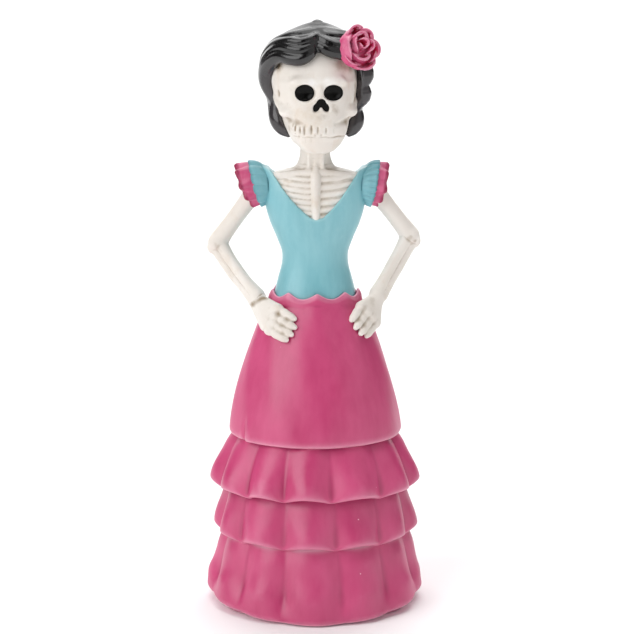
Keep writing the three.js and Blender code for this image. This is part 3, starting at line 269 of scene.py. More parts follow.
def rope(points, count, strands=0, groove=0, middle=None):
    """A round bar along (x, y, z, radius) points; strands groove it lengthways, away from the middle."""
    line = trail(points, count)
    fat = line[:, 3].max() * (1 + groove)

    def distance(x, y, z):
        axes = [x.ravel(), y.ravel(), z.ravel()]
        field = np.full([len(axis) for axis in axes], FAR, np.float32)
        for a, b in zip(line[:-1], line[1:]):
            reach = max(a[3], b[3]) * (1 + groove) + 3
            window, grid = window_of(axes, np.minimum(a, b) - reach, np.maximum(a, b) + reach)
            run = b[:3] - a[:3]
            from_a = [axis - start for axis, start in zip(grid, a)]
            t = np.clip(along(from_a, run) / (run @ run), 0, 1)
            off = [axis - t * step for axis, step in zip(from_a, run)]
            radius = a[3] + (b[3] - a[3]) * t
            if strands:
                out = a[:3] - middle
                out = unit(out - run * (out @ run) / (run @ run))
                side = np.cross(run, out) / np.linalg.norm(run)
                angle = np.arctan2(along(off, side), along(off, out))
                radius = radius * (1 + groove * (np.abs(np.cos(0.5 * strands * angle)) - 0.6))
            field[window] = np.minimum(field[window], np.sqrt(along(off, off)) - radius)
        return field

    return line[:, :3].min(0) - fat, line[:, :3].max(0) + fat, distance


def ovals(stations, z):
    """Half width, half depth and middle y of a tower at a height."""
    table = np.array(stations, float)
    return [through(table[:, [0, k]], z) for k in (1, 2, 3)]


def tower(stations, power=2, grow=0):
    """Upright form of ovals; each station is z, half width, half depth and the y of its middle."""
    table = np.array(stations, float)

    def distance(x, y, z):
        wide, deep, mid = ovals(table, z)
        wide, deep, away = wide + grow, deep + grow, y - mid
        rho = ((np.abs(x) / wide) ** power + (np.abs(away) / deep) ** power) ** (1 / power) + 1e-6
        side = np.sqrt(x * x + away * away) * (1 - 1 / rho)
        ends = np.maximum(table[0, 0] - grow - z, z - table[-1, 0] - grow)
        outside = np.sqrt(np.maximum(side, 0) ** 2 + np.maximum(ends, 0) ** 2)
        return outside + np.minimum(np.maximum(side, ends), 0)

    wide, deep = table[:, 1].max() + grow, table[:, 2].max() + np.abs(table[:, 3]).max() + grow
    return (-wide, -deep, table[0, 0] - grow), (wide, deep, table[-1, 0] + grow), distance


def front(stations, x, z, power):
    """Y of the front of a tower at a place."""
    wide, deep, mid = ovals(stations, z)
    return mid - deep * np.clip(1 - (np.abs(x) / wide) ** power, 0, 1) ** (1 / power)


def srgb(*levels):
    return tuple(((c / 255 + 0.055) / 1.055) ** 2.4 for c in levels) + (1,)


def shared_group(name, inputs, outputs):
    tree = bpy.data.node_groups.new(name, "ShaderNodeTree")
    for label, value in inputs:
        tree.interface.new_socket(label, in_out="INPUT", socket_type="NodeSocketFloat").default_value = value
    for label in outputs:
        tree.interface.new_socket(label, in_out="OUTPUT", socket_type="NodeSocketFloat")
    return tree, tree.nodes.new("NodeGroupInput"), tree.nodes.new("NodeGroupOutput")


def join(tree, made, links):
    """Join sockets of a node to sources, or set them to values."""
    for socket, source in links.items():
        if isinstance(source, bpy.types.NodeSocket):
            tree.links.new(source, made.inputs[socket])
        else:
            made.inputs[socket].default_value = source


def node(tree, kind, links={}, **settings):
    made = tree.nodes.new("ShaderNode" + kind)
    for key, value in settings.items():
        setattr(made, key, value)
    join(tree, made, links)
    return made


def own_place(tree):
    return node(tree, "TexCoord").outputs["Object"]


def noise(tree, stretch, scale, detail=4, rough=0.55):
    mapped = node(tree, "Mapping", {"Vector": own_place(tree), "Scale": stretch})
    return node(tree, "TexNoise", {"Vector": mapped.outputs[0], "Scale": scale, "Detail": detail,
                                   "Roughness": rough}).outputs["Fac"]


def ranged(tree, value, low, high, start=0, end=1):
    return node(tree, "MapRange", {"Value": value, "From Min": low, "From Max": high,
                                   "To Min": start, "To Max": end}).outputs[0]


def maths(tree, operation, *values):
    return node(tree, "Math", dict(enumerate(values)), operation=operation).outputs[0]


def blended(tree, share, a, b):
    return node(tree, "Mix", {0: share, 6: a, 7: b}, data_type="RGBA").outputs[2]


def brush_strokes():
    """Streaks that a soft brush leaves, broad uneven cover, and the height of the strokes."""
    tree, _, out = shared_group("brush_strokes", [], ["Streak", "Cover", "Height"])
    streak = noise(tree, (1, 1, 0.16), 420, 5, 0.6)
    cover = noise(tree, (1, 1, 0.55), 75, 4, 0.55)
    grain = noise(tree, (1, 1, 1), 900, 3, 0.5)
    height = maths(tree, "ADD", streak, maths(tree, "MULTIPLY", grain, 0.35))
    join(tree, out, {"Streak": ranged(tree, streak, 0.35, 0.7), "Cover": ranged(tree, cover, 0.32, 0.68),
                     "Height": height})
    return tree


def hollow_wash_and_shade():
    """Darker where wash settles in hollows, and also painted shade there; paler where paint is rubbed thin on
    crests, and also a painted highlight there; both broken up by noise.
    """
    tree, into, out = shared_group(
        "hollow_wash_and_shade", [("Deep", 0.25), ("Crest", 0.25), ("Ragged", 0.5)], ["Wash_and_shade", "Rub_and_highlight"])
    hollow = node(tree, "Attribute", attribute_name="hollow").outputs["Fac"]
    ragged = maths(tree, "SUBTRACT", noise(tree, (1, 1, 1), 380, 6, 0.65), 0.5)
    ragged = maths(tree, "MULTIPLY", ragged, into.outputs["Ragged"])
    wash_and_shade = maths(tree, "ADD", maths(tree, "DIVIDE", hollow, into.outputs["Deep"]), ragged)
    crest = maths(tree, "MULTIPLY", hollow, -1)
    rub_and_highlight = maths(tree, "ADD", maths(tree, "DIVIDE", crest, into.outputs["Crest"]), ragged)
    join(tree, out, {"Wash_and_shade": ranged(tree, wash_and_shade, 0.12, 1), "Rub_and_highlight": ranged(tree, rub_and_highlight, 0.15, 1)})
    return tree


def paint_flecks():
    """Small scattered chips and specks."""
    tree, into, out = shared_group("paint_flecks", [("Size", 0.1)], ["Fleck"])
    cells = node(tree, "TexVoronoi", {"Vector": own_place(tree), "Scale": 190})
    ragged = maths(tree, "MULTIPLY", noise(tree, (1, 1, 1), 1500, 3), 0.16)
    away = maths(tree, "ADD", cells.outputs["Distance"], ragged)
    near = maths(tree, "LESS_THAN", away, into.outputs["Size"])
    lot = node(tree, "SeparateColor", {"Color": cells.outputs["Color"]}).outputs[0]
    chosen = maths(tree, "GREATER_THAN", lot, 0.72)
    join(tree, out, {"Fleck": maths(tree, "MULTIPLY", near, chosen)})
    return tree


STROKES, WASH_AND_SHADE, FLECKS = brush_strokes(), hollow_wash_and_shade(), paint_flecks()


def faint_stains(tree):
    return ranged(tree, noise(tree, (1, 1, 0.7), 130, 6, 0.68), 0.55, 0.78)


def below_crown(tree):
    """Grows from nothing at a height of 190 mm to all at 178 mm."""
    height = node(tree, "SeparateXYZ", {"Vector": own_place(tree)}).outputs["Z"]
    return ranged(tree, height, 190 * MM, 178 * MM)


def painted(name, layers, rough, deep, crest, ragged=0.5, fleck=0.1, bump=(0.22, 0.25), specular=0.5,
            slot=None):
    """Brushed paint and its slot. Layers on a first colour each have an effect, its share and a colour.

    Deep and crest are the hollow and the crest of full effect. Bump is a strength and a height.
    """
    paint = bpy.data.materials.new(name)
    paint.use_nodes = True
    tree = paint.node_tree
    effects = {}
    for group, inputs in ((STROKES, {}), (WASH_AND_SHADE, {"Deep": deep, "Crest": crest, "Ragged": ragged}),
                          (FLECKS, {"Size": fleck})):
        effects.update(node(tree, "Group", inputs, node_tree=group).outputs.items())
    colour = srgb(*layers[0])
    for effect, share, level in layers[1:]:
        source = effect(tree) if callable(effect) else effects[effect]
        colour = blended(tree, maths(tree, "MULTIPLY", source, share), colour, srgb(*level))
    strength, height = bump
    relief = node(tree, "Bump", {"Height": effects["Height"], "Strength": strength, "Distance": height * MM})
    effect, *ends = rough
    join(tree, tree.nodes["Principled BSDF"], {
        "Base Color": colour, "Roughness": ranged(tree, effects[effect], 0, 1, *ends),
        "Normal": relief.outputs[0], "Specular IOR Level": specular})
    return paint, slot or name


def gloss_paint(name, colours, streaky, gloss, extra_layers=(), **settings):
    """Gloss paint: thin and milky strokes over the body colour, deep in hollows as wash and painted shade,
    paler on crests as rubbed paint and a painted highlight.
    """
    hollow, thin, body, milky, rubbed_and_highlight, fleck = colours
    layers = [thin, ("Cover", 1, body), ("Streak", streaky, milky), *extra_layers, ("Wash_and_shade", 1, hollow),
              ("Rub_and_highlight", 0.75, rubbed_and_highlight), ("Fleck", 1, fleck)]
    return painted(name, layers, ("Cover", *gloss), **settings)


# Colours of gloss paint: in hollows (wash and painted shade), thin strokes, body, milky strokes, on crests
# (rubbed paint and a painted highlight), flecks.
SKIRT = gloss_paint("skirt_paint", (
    (156, 28, 80), (188, 50, 104), (204, 70, 121), (224, 118, 156), (240, 176, 198), (246, 208, 220)),
    streaky=0.09, gloss=(0.34, 0.46), deep=0.6, crest=1.1, ragged=0.16, specular=0.75)
TRIM = gloss_paint("sleeve_trim_paint", (
    (150, 24, 72), (190, 60, 108), (206, 84, 128), (228, 138, 168), (246, 200, 214), (246, 220, 226)),
    streaky=0.3, gloss=(0.26, 0.4), deep=0.1, crest=0.1, slot="skirt_paint")
ROSE = gloss_paint("rose_paint", (
    (246, 40, 104), (200, 66, 116), (210, 82, 130), (232, 132, 165), (248, 190, 210), (250, 224, 232)),
    streaky=0.3, gloss=(0.2, 0.34), deep=0.15, crest=0.11, ragged=0.3)
FRILL = gloss_paint("sleeve_frill_paint", (
    (66, 124, 138), (106, 164, 176), (122, 180, 190), (150, 202, 210), (190, 224, 228), (214, 234, 236)),
    streaky=0.35, gloss=(0.28, 0.42), deep=0.34, crest=0.24, slot="bodice_paint")
TURQUOISE = gloss_paint("bodice_paint", (
    (84, 142, 154), (112, 174, 184), (126, 187, 197), (150, 204, 211), (190, 226, 228), (224, 240, 240)),
    streaky=0.35, gloss=(0.28, 0.42), deep=0.5, crest=0.6, specular=0.75)
BLACK_HAIR = gloss_paint("hair_paint", (
    (4, 4, 4), (9, 8, 8), (14, 12, 13), (24, 22, 23), (58, 56, 56), (90, 88, 88)),
    streaky=0.3, gloss=(0.12, 0.26), deep=0.5, crest=0.9, ragged=0.4, specular=0.7,
    # Paler grey below the crown.
    extra_layers=[(below_crown, 1, (54, 50, 52))])
ENAMEL = gloss_paint("black_enamel", (
    (3, 3, 3), (5, 5, 4), (8, 7, 6), (12, 11, 10), (18, 16, 15), (30, 28, 26)),
    streaky=0.25, gloss=(0.2, 0.34), deep=0.4, crest=0.9, specular=0.14)
# Ivory satin with a brown wash left in the hollows and faint stains on the flats, near white on the crests as
# rubbed paint and a painted highlight.
BONE = painted("bone_paint", (
    (226, 217, 207), ("Cover", 1, (238, 232, 225)), (faint_stains, 0.5, (212, 190, 164)),
    ("Wash_and_shade", 0.85, (128, 102, 62)), ("Rub_and_highlight", 1, (250, 248, 245)), ("Fleck", 0.7, (140, 104, 74))),
    rough=("Streak", 0.42, 0.6), deep=0.26, crest=0.3, ragged=0.9, fleck=0.12, bump=(0.2, 0.2))


# Angles round the skirt start at the front and go towards the figure's left.
TURN = full_turn(540)
DEPTH_SHARE = 0.95  # depth of a tier for its width


def crowns(folds):
    """1 on the round crown of each gathered fold and 0 in the groove between two of them."""
    edges = np.radians(sorted(folds))
    edges = np.append(edges, edges[0] + 2 * pi)
    turn = (TURN - edges[0]) % (2 * pi) + edges[0]
    k = np.clip(np.searchsorted(edges, turn, side="right") - 1, 0, len(edges) - 2)
    share = (turn - edges[k]) / (edges[k + 1] - edges[k])
    arch = np.sqrt(np.sin(pi * share) ** 2 + 0.03)  # from 0.173 to 1.015
    return (arch - 0.173) / 0.842


def around(radius, z):
    radius, z = np.broadcast_arrays(radius + 0 * TURN, z + 0 * TURN)
    return np.stack([radius * np.sin(TURN), -radius * DEPTH_SHARE * np.cos(TURN), z], -1)


def hand_worked(z):
    """Slow unevenness of a surface worked by hand."""
    return (0.16 * np.sin(3 * TURN + 0.11 * z) + 0.12 * np.sin(7 * TURN - 0.19 * z + 1.3)
            + 0.09 * np.sin(13 * TURN + 0.31 * z + 0.7))


def flounce(name, low, joint, high, lip, top, folds, fullness, shoulder, hang, edge, lift, foot=1):
    """Gathered tier: a lip that hangs lower in the grooves, lobed folds, and a round top under the next lip.

    Low, joint and high are heights, lip and top radii, folds the angles of the grooves in degrees. Edge is
    half the lip's thickness and the height of its rounding, foot the share of the folds' depth at that edge.
    """
    crown = crowns(folds)
    across, tall = edge
    rows = []

    def row(z, radius, share, drop, bulge=0):
        swell = fullness * share * (crown - 0.5) + bulge * (0.3 + 0.7 * crown) + hand_worked(z)
        swell = swell if share else 0
        rows.append(around(radius + swell, z - hang * drop * (1 - crown) + lift * drop))

    if hang:
        row(joint + 0.3, lip - 2 * across - 2.4, 0, 0)
        row(joint - 0.6, lip - 2 * across - 0.5, 0.6, 0.3)
    else:
        row(0, lip - 8, 0, 0)
        row(0, lip - 2 * across - 1.6, foot, 0)
        row(0, lip - 2 * across - 1.4, foot, 1)
    start = low + tall
    for angle in np.linspace(pi if hang else 1.5 * pi, 2 * pi, 12):
        row(start + tall * sin(angle), lip - across + across * cos(angle), foot, 1)
    for t in np.linspace(0, 1, 60)[1:]:
        share = (foot + (1 - foot) * smooth(0, 0.35, t)) * (1 - 0.6 * smooth(0, 0.85, t))
        fall = t ** (1.4 if hang else 1.15)
        row(start + (high - start) * t, lip - (lip - top) * fall, share, 1 - smooth(0, 0.5, t),
            shoulder * exp(-((t - 0.72) / 0.15) ** 2))
    row(high + 0.4, top - 1.5, 0, 0)
    cast(name, loft(np.array(rows)), SKIRT, 60)


flounce("hem_flounce", low=0, joint=0, high=28, lip=36.9, top=30.4,
        folds=(-46, -18, 15, 45, 75, 104, 134, 164, 193, 222, 252, 284), fullness=3.3, shoulder=0.5, hang=0,
        edge=(1.2, 1.7), lift=0.15 + 3 * np.sin(TURN) ** 2, foot=0.3)
flounce("middle_flounce", low=25.7, joint=28.4, high=44.2, lip=33.8, top=28.4,
        folds=(-51, -19, 13, 43, 72, 102, 133, 163, 193, 223, 252, 281), fullness=3.2, shoulder=0.4, hang=1.8,
        edge=(1.15, 1.1), lift=0.7 * np.cos(0.5 * TURN) ** 4)
flounce("upper_flounce", low=41.8, joint=44.6, high=61.8, lip=34.5, top=25.6,
        folds=(-44, -19, 10, 43, 73, 103, 133, 163, 193, 223, 253, 286), fullness=3.4, shoulder=0.4, hang=1.9,
        edge=(1.15, 1.1), lift=1.5 * np.cos(0.5 * TURN) ** 4)

BELL_FOOT, BELL_RISE = 60.6, 47.4  # height of the bell's lower edge, and from there to the waist
BELL_EDGE = 0.95  # roundness of the lower edge
BELL_SLOPE = 1.4  # above 1 the sides bulge
WAIST_SCALLOP = 2.2


def bell_oval(t, lift):
    """Half width and half depth of the skirt bell at a share of its height."""
    return 29.6 - 14.5 * t ** BELL_SLOPE + lift, 28.1 - 15.5 * t ** BELL_SLOPE + lift


def skirt_bell():
    """Smooth upper skirt: a curled lower edge, a pleat low on the figure's right, a scalloped waist."""
    rows = []
    scallop = 1.08 - np.sqrt(np.sin(4.5 * (TURN - radians(3))) ** 2 + 0.02)
    pleat = np.exp(-((TURN - radians(305)) / 0.035) ** 2)
    pleat -= 0.5 * np.exp(-((TURN - radians(310)) / 0.06) ** 2)

    def row(wide, deep, z, lift=0):
        press = -0.9 * pleat * (1 - smooth(60, 70, z)) + (hand_worked(0.6 * z) if z < 105 else 0)
        height = z + lift * (scallop - 0.5) + 0 * TURN
        rows.append(np.stack([(wide + press) * np.sin(TURN), -(deep + press) * np.cos(TURN), height], -1))

    row(25, 23.6, 62.2)
    row(27.4, 26, 61.8)
    for angle in np.linspace(pi, 2 * pi, 10):
        curl = BELL_EDGE * cos(angle)
        row(28.65 + curl, 27.15 + curl, BELL_FOOT + BELL_EDGE * sin(angle))
    for t in np.linspace(0, 1, 90)[1:]:
        roll = 0.3 * exp(-((t - 0.98) / 0.018) ** 2) - 0.2 * exp(-((t - 0.925) / 0.025) ** 2)
        row(*bell_oval(t, roll), BELL_FOOT + BELL_RISE * t, WAIST_SCALLOP * smooth(0.93, 1, t))
    for angle in np.linspace(0, pi, 8)[1:]:
        roll = 0.4 * cos(angle)
        row(14.72 + roll, 12.22 + roll, BELL_FOOT + BELL_RISE + 0.45 * sin(angle), WAIST_SCALLOP)
    row(14, 11.5, 102)
    cast("skirt_bell", loft(np.array(rows)), SKIRT, 60)


skirt_bell()

# Ovals of the bodice and the chest: height, half width, half depth, middle y. Necklines: height, half width.
BODICE = [(101, 14, 11.4, 0), (107, 13.9, 11.4, 0), (113.2, 12.5, 10.1, 0), (118, 11.3, 9.1, 0),
    (121.5, 11.2, 8.9, 0), (127, 13, 9.6, 0), (132, 15.1, 10.6, 0), (137, 16.6, 10.9, 0),
    (142, 17.3, 10.2, 0), (147, 18, 8.6, 0), (150.5, 18.5, 7.2, 0), (153, 18.4, 5.4, 0)]
NECKLINE = [(134.2, 0), (134.6, 1.4), (135.7, 2.9), (137.6, 5), (141, 8.2), (143.3, 10), (146, 11.9),
    (150, 14.6), (156, 17.4)]
BACK_NECKLINE = [(143, -6), (145, 4), (147, 10.5), (149, 14.2), (151, 16), (156, 17.2)]
BODICE_SQUARE = 2.3  # above 2 the ovals are squarer
NECK_JOINT = 154.4
CHEST = [(z, wide - 1.6, deep - 1.5, mid) for z, wide, deep, mid in BODICE[4:9]]
CHEST += [(146, 15.9, 7.9, 0), (148.6, 14.8, 6.7, 0), (149.7, 11.6, 6, 0), (150.6, 7.4, 5.2, 0),
          (151.4, 5.6, 4.8, 0)]


def neckline(x, y, z):
    """V cut through the front, with bowed sides."""
    half = through(NECKLINE, z) + np.minimum(z - 135, 0) * 1.5
    return np.maximum((np.abs(x - 0.6 * smooth(146, 134, z)) - half) * 0.72, y - 1)


def back_neckline(x, y, z):
    return np.maximum((np.abs(x) - through(BACK_NECKLINE, z)) * 0.6 + 0 * y, -y)


def bodice():
    clay = Clay((-20, -13.5, 99), (20, 13.5, 156), 0.26)
    clay.add(tower(BODICE, BODICE_SQUARE))
    inside = tower([row for row in CHEST if row[0] > 126], BODICE_SQUARE, 0.25)
    clay.cut(((-19, -14, 130), (19, 3, 157), neckline), 0.7)
    clay.cut(((-17, -1, 142), (17, 14, 157), back_neckline), 0.8)
    for side in (-1, 1):
        clay.cut(egg((18.6 * side, 0.3, 144.6), (3.4, 3.9, 5.2)), 0.4)
    clay.cut(inside, 0.2)
    x, _, z = clay.grid()
    clay.field = np.maximum(clay.field, (z - 150 - 0.45 * (np.abs(x) - 14.4)) * 0.9)
    clay.settle(6)
    clay.cast("bodice", TURQUOISE)


def chest_and_neck():
    clay = Clay((-18, -13, 118), (18, 12, 171), 0.24)
    clay.add(tower(CHEST, BODICE_SQUARE))
    for side in (-1, 1):
        pitch, fat = (1.85, 0.86) if side < 0 else (2.5, 1.05)
        for k in range(int(18.5 / pitch)):
            z = 147.8 - pitch * k
            line = []
            for x, rise in ((1.6, -0.55), (4.5, -0.35), (8, 0), (11.5, 0.45), (14.6, 0.7)):
                height = z + rise
                if x < through([(row[0], row[1]) for row in CHEST], height) - 0.6:
                    y = front(CHEST, x, height, BODICE_SQUARE) + 0.35
                    line.append((side * x, y, height, fat - 0.02 * x))
            if len(line) > 2:
                clay.add(rope(line, 16), 0.25)
        collar = [(side * x, front(CHEST, x, z, BODICE_SQUARE) + 0.3, z, r) for x, z, r in
                  ((1.6, 149.4, 1.25), (5, 149.3, 1.15), (9, 148.8, 1.05), (13.2, 148, 1.2))]
        clay.add(rope(collar, 18), 0.7)
    breastbone = [(0.3, front(CHEST, 0, z, BODICE_SQUARE) - 0.1, z, r) for z, r in
                  ((151.4, 0.7), (150, 1.3), (148.6, 1.7), (146.6, 1.75), (143, 1.55), (138, 1.5),
                   (133.5, 1.3), (130, 0.9))]
    clay.add(rope(breastbone, 26), 0.5)
    neck = [(149.8, 7.6, 4.9, 0.6), (151.2, 6.4, 4.9, 0.3), (153, 5.6, 4.8, 0), (159, 5, 4.5, -0.8),
            (164, 4.9, 4.4, -1.2), (168.4, 4.9, 4.4, -1.4)]
    clay.add(tower(neck), 1.6)
    for x0, x1, r in ((-3, -2.4, 0.4), (3.1, 2.4, 0.4)):
        cord = [(0.3 + x0, -4.4, 165, r), (0.3 + x0 * 0.95, -4.6, 159, r), (0.3 + x1, -4.6, NECK_JOINT, r),
                (0.3 + x1, -5, 151.4, r * 0.8), (0.3 + x1, -5.2, 149, r * 0.4)]
        clay.add(rope(cord, 20), 1.6)
    for z in (155.8, 158.4, 161, 163.6):
        ring_groove = [(0.3 + 6 * sin(a), -0.8 - 5.5 * cos(a), z + 0.3 * cos(3 * a), 0.22)
                       for a in np.linspace(-1.4, 1.4, 9)]
        clay.cut(rope(ring_groove, 24), 0.8)
    _, _, z = clay.grid()
    clay.settle(4)
    clay.cast("rib_cage", BONE, z - NECK_JOINT)
    clay.cast("neck", BONE, NECK_JOINT - z, tongue=TONGUE)


bodice()
chest_and_neck()


# Rings of a sleeve: share of the way out, middle x, middle z, half height, half depth, tilt in degrees.
RIGHT_SLEEVE = [(0, 15.6, 144.9, 5.4, 5, 5), (0.25, 18, 145.3, 6.9, 6, 8), (0.5, 20.6, 145.2, 7.5, 6.5, 12),
    (0.8, 23.6, 144.7, 7.5, 6.7, 16), (1, 25.2, 144.4, 7.5, 6.9, 17)]
LEFT_SLEEVE = [(0, 15.6, 144.9, 5.4, 5, 5), (0.25, 18, 145.3, 6.9, 6, 7), (0.5, 20.6, 145.1, 7.5, 6.5, 8),
    (0.8, 22.8, 144.8, 7.3, 6.7, 8), (1, 24.1, 144.5, 7.2, 6.9, 7)]


def sleeve(side, name, rings_of, start, end, grow, waves, depth, paint, thick, phase, pleated, rim):
    """Gathered band round the shoulder, between two shares of the sleeve; rim draws its outer edge in."""
    turn = full_turn(480)
    swing = waves * turn + phase + 0.7 * np.sin(2 * turn + phase)
    if pleated:
        fold = 1.6 * np.abs(np.sin(0.5 * swing)) - 1
    else:
        fold = np.sin(swing) + 0.25 * np.sin(3 * turn + phase)
    table = np.array(rings_of, float)

    def ring(share, inner, wave):
        x, z, tall, deep, tilt = (through(table[:, [0, k]], share) for k in range(1, 6))
        tilt = radians(tilt)
        ripple = depth * wave * fold - rim * max(0, (share - end) / 0.16 + 1) ** 2
        height = (tall + grow - inner + ripple) * np.sin(turn)
        out = 0.25 * depth * wave ** 2 * fold
        gather = 1.7 * share * np.clip(-np.sin(turn), 0, 1) ** 2
        return np.stack([side * (x + out * cos(tilt) + height * sin(tilt) - gather),
                         -(deep + grow - inner + ripple) * np.cos(turn),
                         z - out * sin(tilt) + height * cos(tilt)], -1)

    at = np.linspace(0, 1, 28)
    outer = [ring(start + (end - start) * t, 0, 0.15 + 0.85 * smooth(0, 1, t)) for t in at]
    edge = [ring(end + 0.05 * thick * sin(a), 0.5 * thick * (1 - cos(a)), 1)
            for a in np.linspace(0, pi, 8)[1:-1]]
    inner = [ring(start + (end - start) * t, thick, 0.15 + 0.85 * smooth(0, 1, t)) for t in at[::-1]]
    rings = np.array(outer + edge + inner)
    cast(name, loft(rings if side > 0 else rings[:, ::-1], hoop=True), paint, 20)


for side, label in ((-1, "right"), (1, "left")):
    rings_of, pleats = (RIGHT_SLEEVE, 11) if side < 0 else (LEFT_SLEEVE, 21)
    sleeve(side, label + "_sleeve_frill", rings_of, start=0, end=0.47, grow=0.4, waves=pleats,
           depth=0.2 + 4.4 / pleats, paint=FRILL, thick=1.2, phase=0.4 * side, pleated=True, rim=0)
    sleeve(side, label + "_sleeve_trim", rings_of, start=0.33, end=1, grow=-0.4, waves=8,
           depth=0.85, paint=TRIM, thick=1.3, phase=1.2 + 0.6 * side, pleated=False, rim=0.8)


def bell_front(x, z, lift):
    """The y of the front of the skirt bell, lifted off it."""
    wide, deep = bell_oval(np.clip((z - BELL_FOOT) / BELL_RISE, 0, 1), lift)
    return -deep * sqrt(max(1 - (x / wide) ** 2, 0))


def arm(side, label, elbow, wrist, knuckles, tips, arch, fat, thumb, stains, heel=()):
    """Upper arm, elbow, two bones side by side and hand, cast in three pieces.

    Arch and fat are the rise and the radius of the fingers. Stains have a place, a radius and a strength.
    """
    shoulder = np.array([side * 17.6, 0.2, 146.2])
    elbow, wrist = np.array(elbow, float), np.array(wrist, float)
    clay = Clay((min(side * 3, side * 39), -22, 91), (max(side * 3, side * 39), 13, 151), 0.24)
    upper = elbow - shoulder
    clay.add(rope([(*(shoulder + upper * t), r) for t, r in
                   ((0, 3.3), (0.2, 3.2), (0.5, 2.9), (0.75, 2.95), (0.95, 3.25))], 22))
    lumps = ((0.3, -1.3, 0.2, (2.7, 2.3, 2.6), 1), (0.1, 1.5, -0.2, (2.8, 2.4, 2.8), 1),
             (1.3, 0.3, -1.6, (2.1, 2, 2.4), 0.8), (-1.1, -0.4, 0.6, (2.5, 2.5, 2.6), 1.2))
    for x, y, z, halves, blend in lumps:
        clay.add(egg(elbow + (x * side, y, z), halves), blend)
    down = wrist - elbow
    across = np.array([-0.66 * side, -0.5, 0.56])
    bow = np.array([0.72 * side, 0, -0.52]) * (0.9 if side < 0 else 0.2)
    for sign, r in ((1, 1.9), (-1, 1.85)):
        bone = [(*(elbow + down * t + across * sign * gap + bow * 4 * t * (1 - t)), r + more)
                for t, gap, more in ((0.06, 1.2, 0.5), (0.25, 1.35, 0.1), (0.5, 1.4, 0),
                                     (0.75, 1.25, 0.05), (0.95, 1.1, 0.5))]
        clay.add(rope(bone, 22), 0.35)
    clay.add(egg(wrist, (2.7, 3, 2.6)), 1.2)
    for a, b, r in [(wrist, knuckle, 1.75) for knuckle in knuckles] + list(heel):
        clay.add(rope([(*a, r), (*(0.5 * (np.array(a) + b)), r * 1.02), (*b, r)], 8), 1.3)
    for line in [finger(knuckle, tip, arch, fat) for knuckle, tip in zip(knuckles, tips)] + [thumb]:
        clay.add(rope(line, 20), 0.75)
    x, _, z = grid = clay.grid()
    low_arm = (z - elbow[2]) * 0.8 + (side * x - side * elbow[0]) * 0.6 + 1.2
    past_wrist = along([axis - at for axis, at in zip(grid, wrist)], down) / np.linalg.norm(down) - 0.4
    clay.settle(4)
    clay.cast(label + "_upper_arm", BONE, -low_arm, spots=stains)
    clay.cast(label + "_forearm", BONE, np.maximum(low_arm, past_wrist), None, TONGUE, stains)
    clay.cast(label + "_hand", BONE, np.maximum(low_arm, -past_wrist), spots=stains)


FINGER_LIFT = 1  # the line of a finger above the skirt


def finger(knuckle, tip, arch, r):
    """From the knuckle (x, y, z) to a tip at (x, z) that rests on the skirt."""
    knuckle = np.array(knuckle, float)
    end = np.array([tip[0], bell_front(tip[0], tip[1], FINGER_LIFT), tip[1]])
    line = []
    for t, fat in ((0, 1.08), (0.2, 0.98), (0.42, 1.06), (0.62, 0.97), (0.82, 0.92), (1, 0.64)):
        at = knuckle + (end - knuckle) * t
        rest = bell_front(at[0], at[2], FINGER_LIFT + arch * sin(pi * t))
        at[1] = min(at[1], rest) if t > 0.15 else at[1]
        line.append((*at, r * fat))
    return line


def finger_stains(places, strength):
    return [(x, bell_front(x, z, 2.8), z, 1.2, strength) for x, z in places]


wrist_stains = [(-16.2 - 0.8 * k, -8.6 + 0.4 * k, 107.8 - 0.55 * k, 1, 0.13 + 0.05 * (k % 2))
                for k in range(7)]
arm(-1, "right", elbow=(-33.4, 3, 124.4), wrist=(-19.6, -4.6, 106.6),
    knuckles=[(x, bell_front(x, z, 1.5), z)
              for x, z in ((-12.4, 104.2), (-13.3, 101.7), (-14.3, 99.3), (-15.4, 97.2))],
    tips=[(-6.9, 101.6), (-6.8, 98.9), (-7.9, 96.6), (-9.6, 94.8)], arch=0.4, fat=1.42,
    thumb=[(-19.4, -2, 106, 1.6), (-18.6, 1.8, 104.6, 1.5), (-17.9, 5, 103.4, 1.35), (-16.6, 7.4, 102.6, 1.1)],
    stains=[(-13, -12, 101, 6.5, 0.06), (-34.2, -1.2, 124.4, 1.4, 0.1), (-32.4, -1.2, 121.8, 1.3, 0.1)]
    + wrist_stains + finger_stains(((-11.6, 99.4), (-9.6, 101.4), (-12.6, 102.9), (-10.8, 97)), 0.15),
    heel=[((-20.6, -4.6, 104.6), (-17, bell_front(-17, 97.8, FINGER_LIFT), 97.8), 1.6)])
arm(1, "left", elbow=(32.6, 3, 126.6), wrist=(21.2, -3.2, 107),
    knuckles=[(15.4, -9.6, 104.6), (17.4, -9.2, 102.8), (19.1, -8.2, 100.6), (20.5, -6.8, 98.4)],
    tips=[(12.3, 100.7), (13.7, 98.1), (15.4, 96), (17.4, 94.9)], arch=0.6, fat=1.4,
    thumb=[(20.4, -0.6, 107, 1.6), (19.6, 3, 105.2, 1.5), (18.6, 6, 103.8, 1.35), (17, 8.2, 102.8, 1.1)],
    stains=[(16.6, -10, 100.6, 6, 0.06), (31.4, -2.2, 126.2, 1.2, 0.12), (34.4, -1.4, 125, 1.2, 0.13),
            (34.6, -1.2, 124.2, 0.6, 0.1), (32.8, -2, 127.2, 0.9, 0.1), (19.4, -8, 107, 1.4, 0.1)]
    + finger_stains(((15.6, 104.6), (14.6, 100.8), (16.6, 98.6), (17.6, 102)), 0.1))


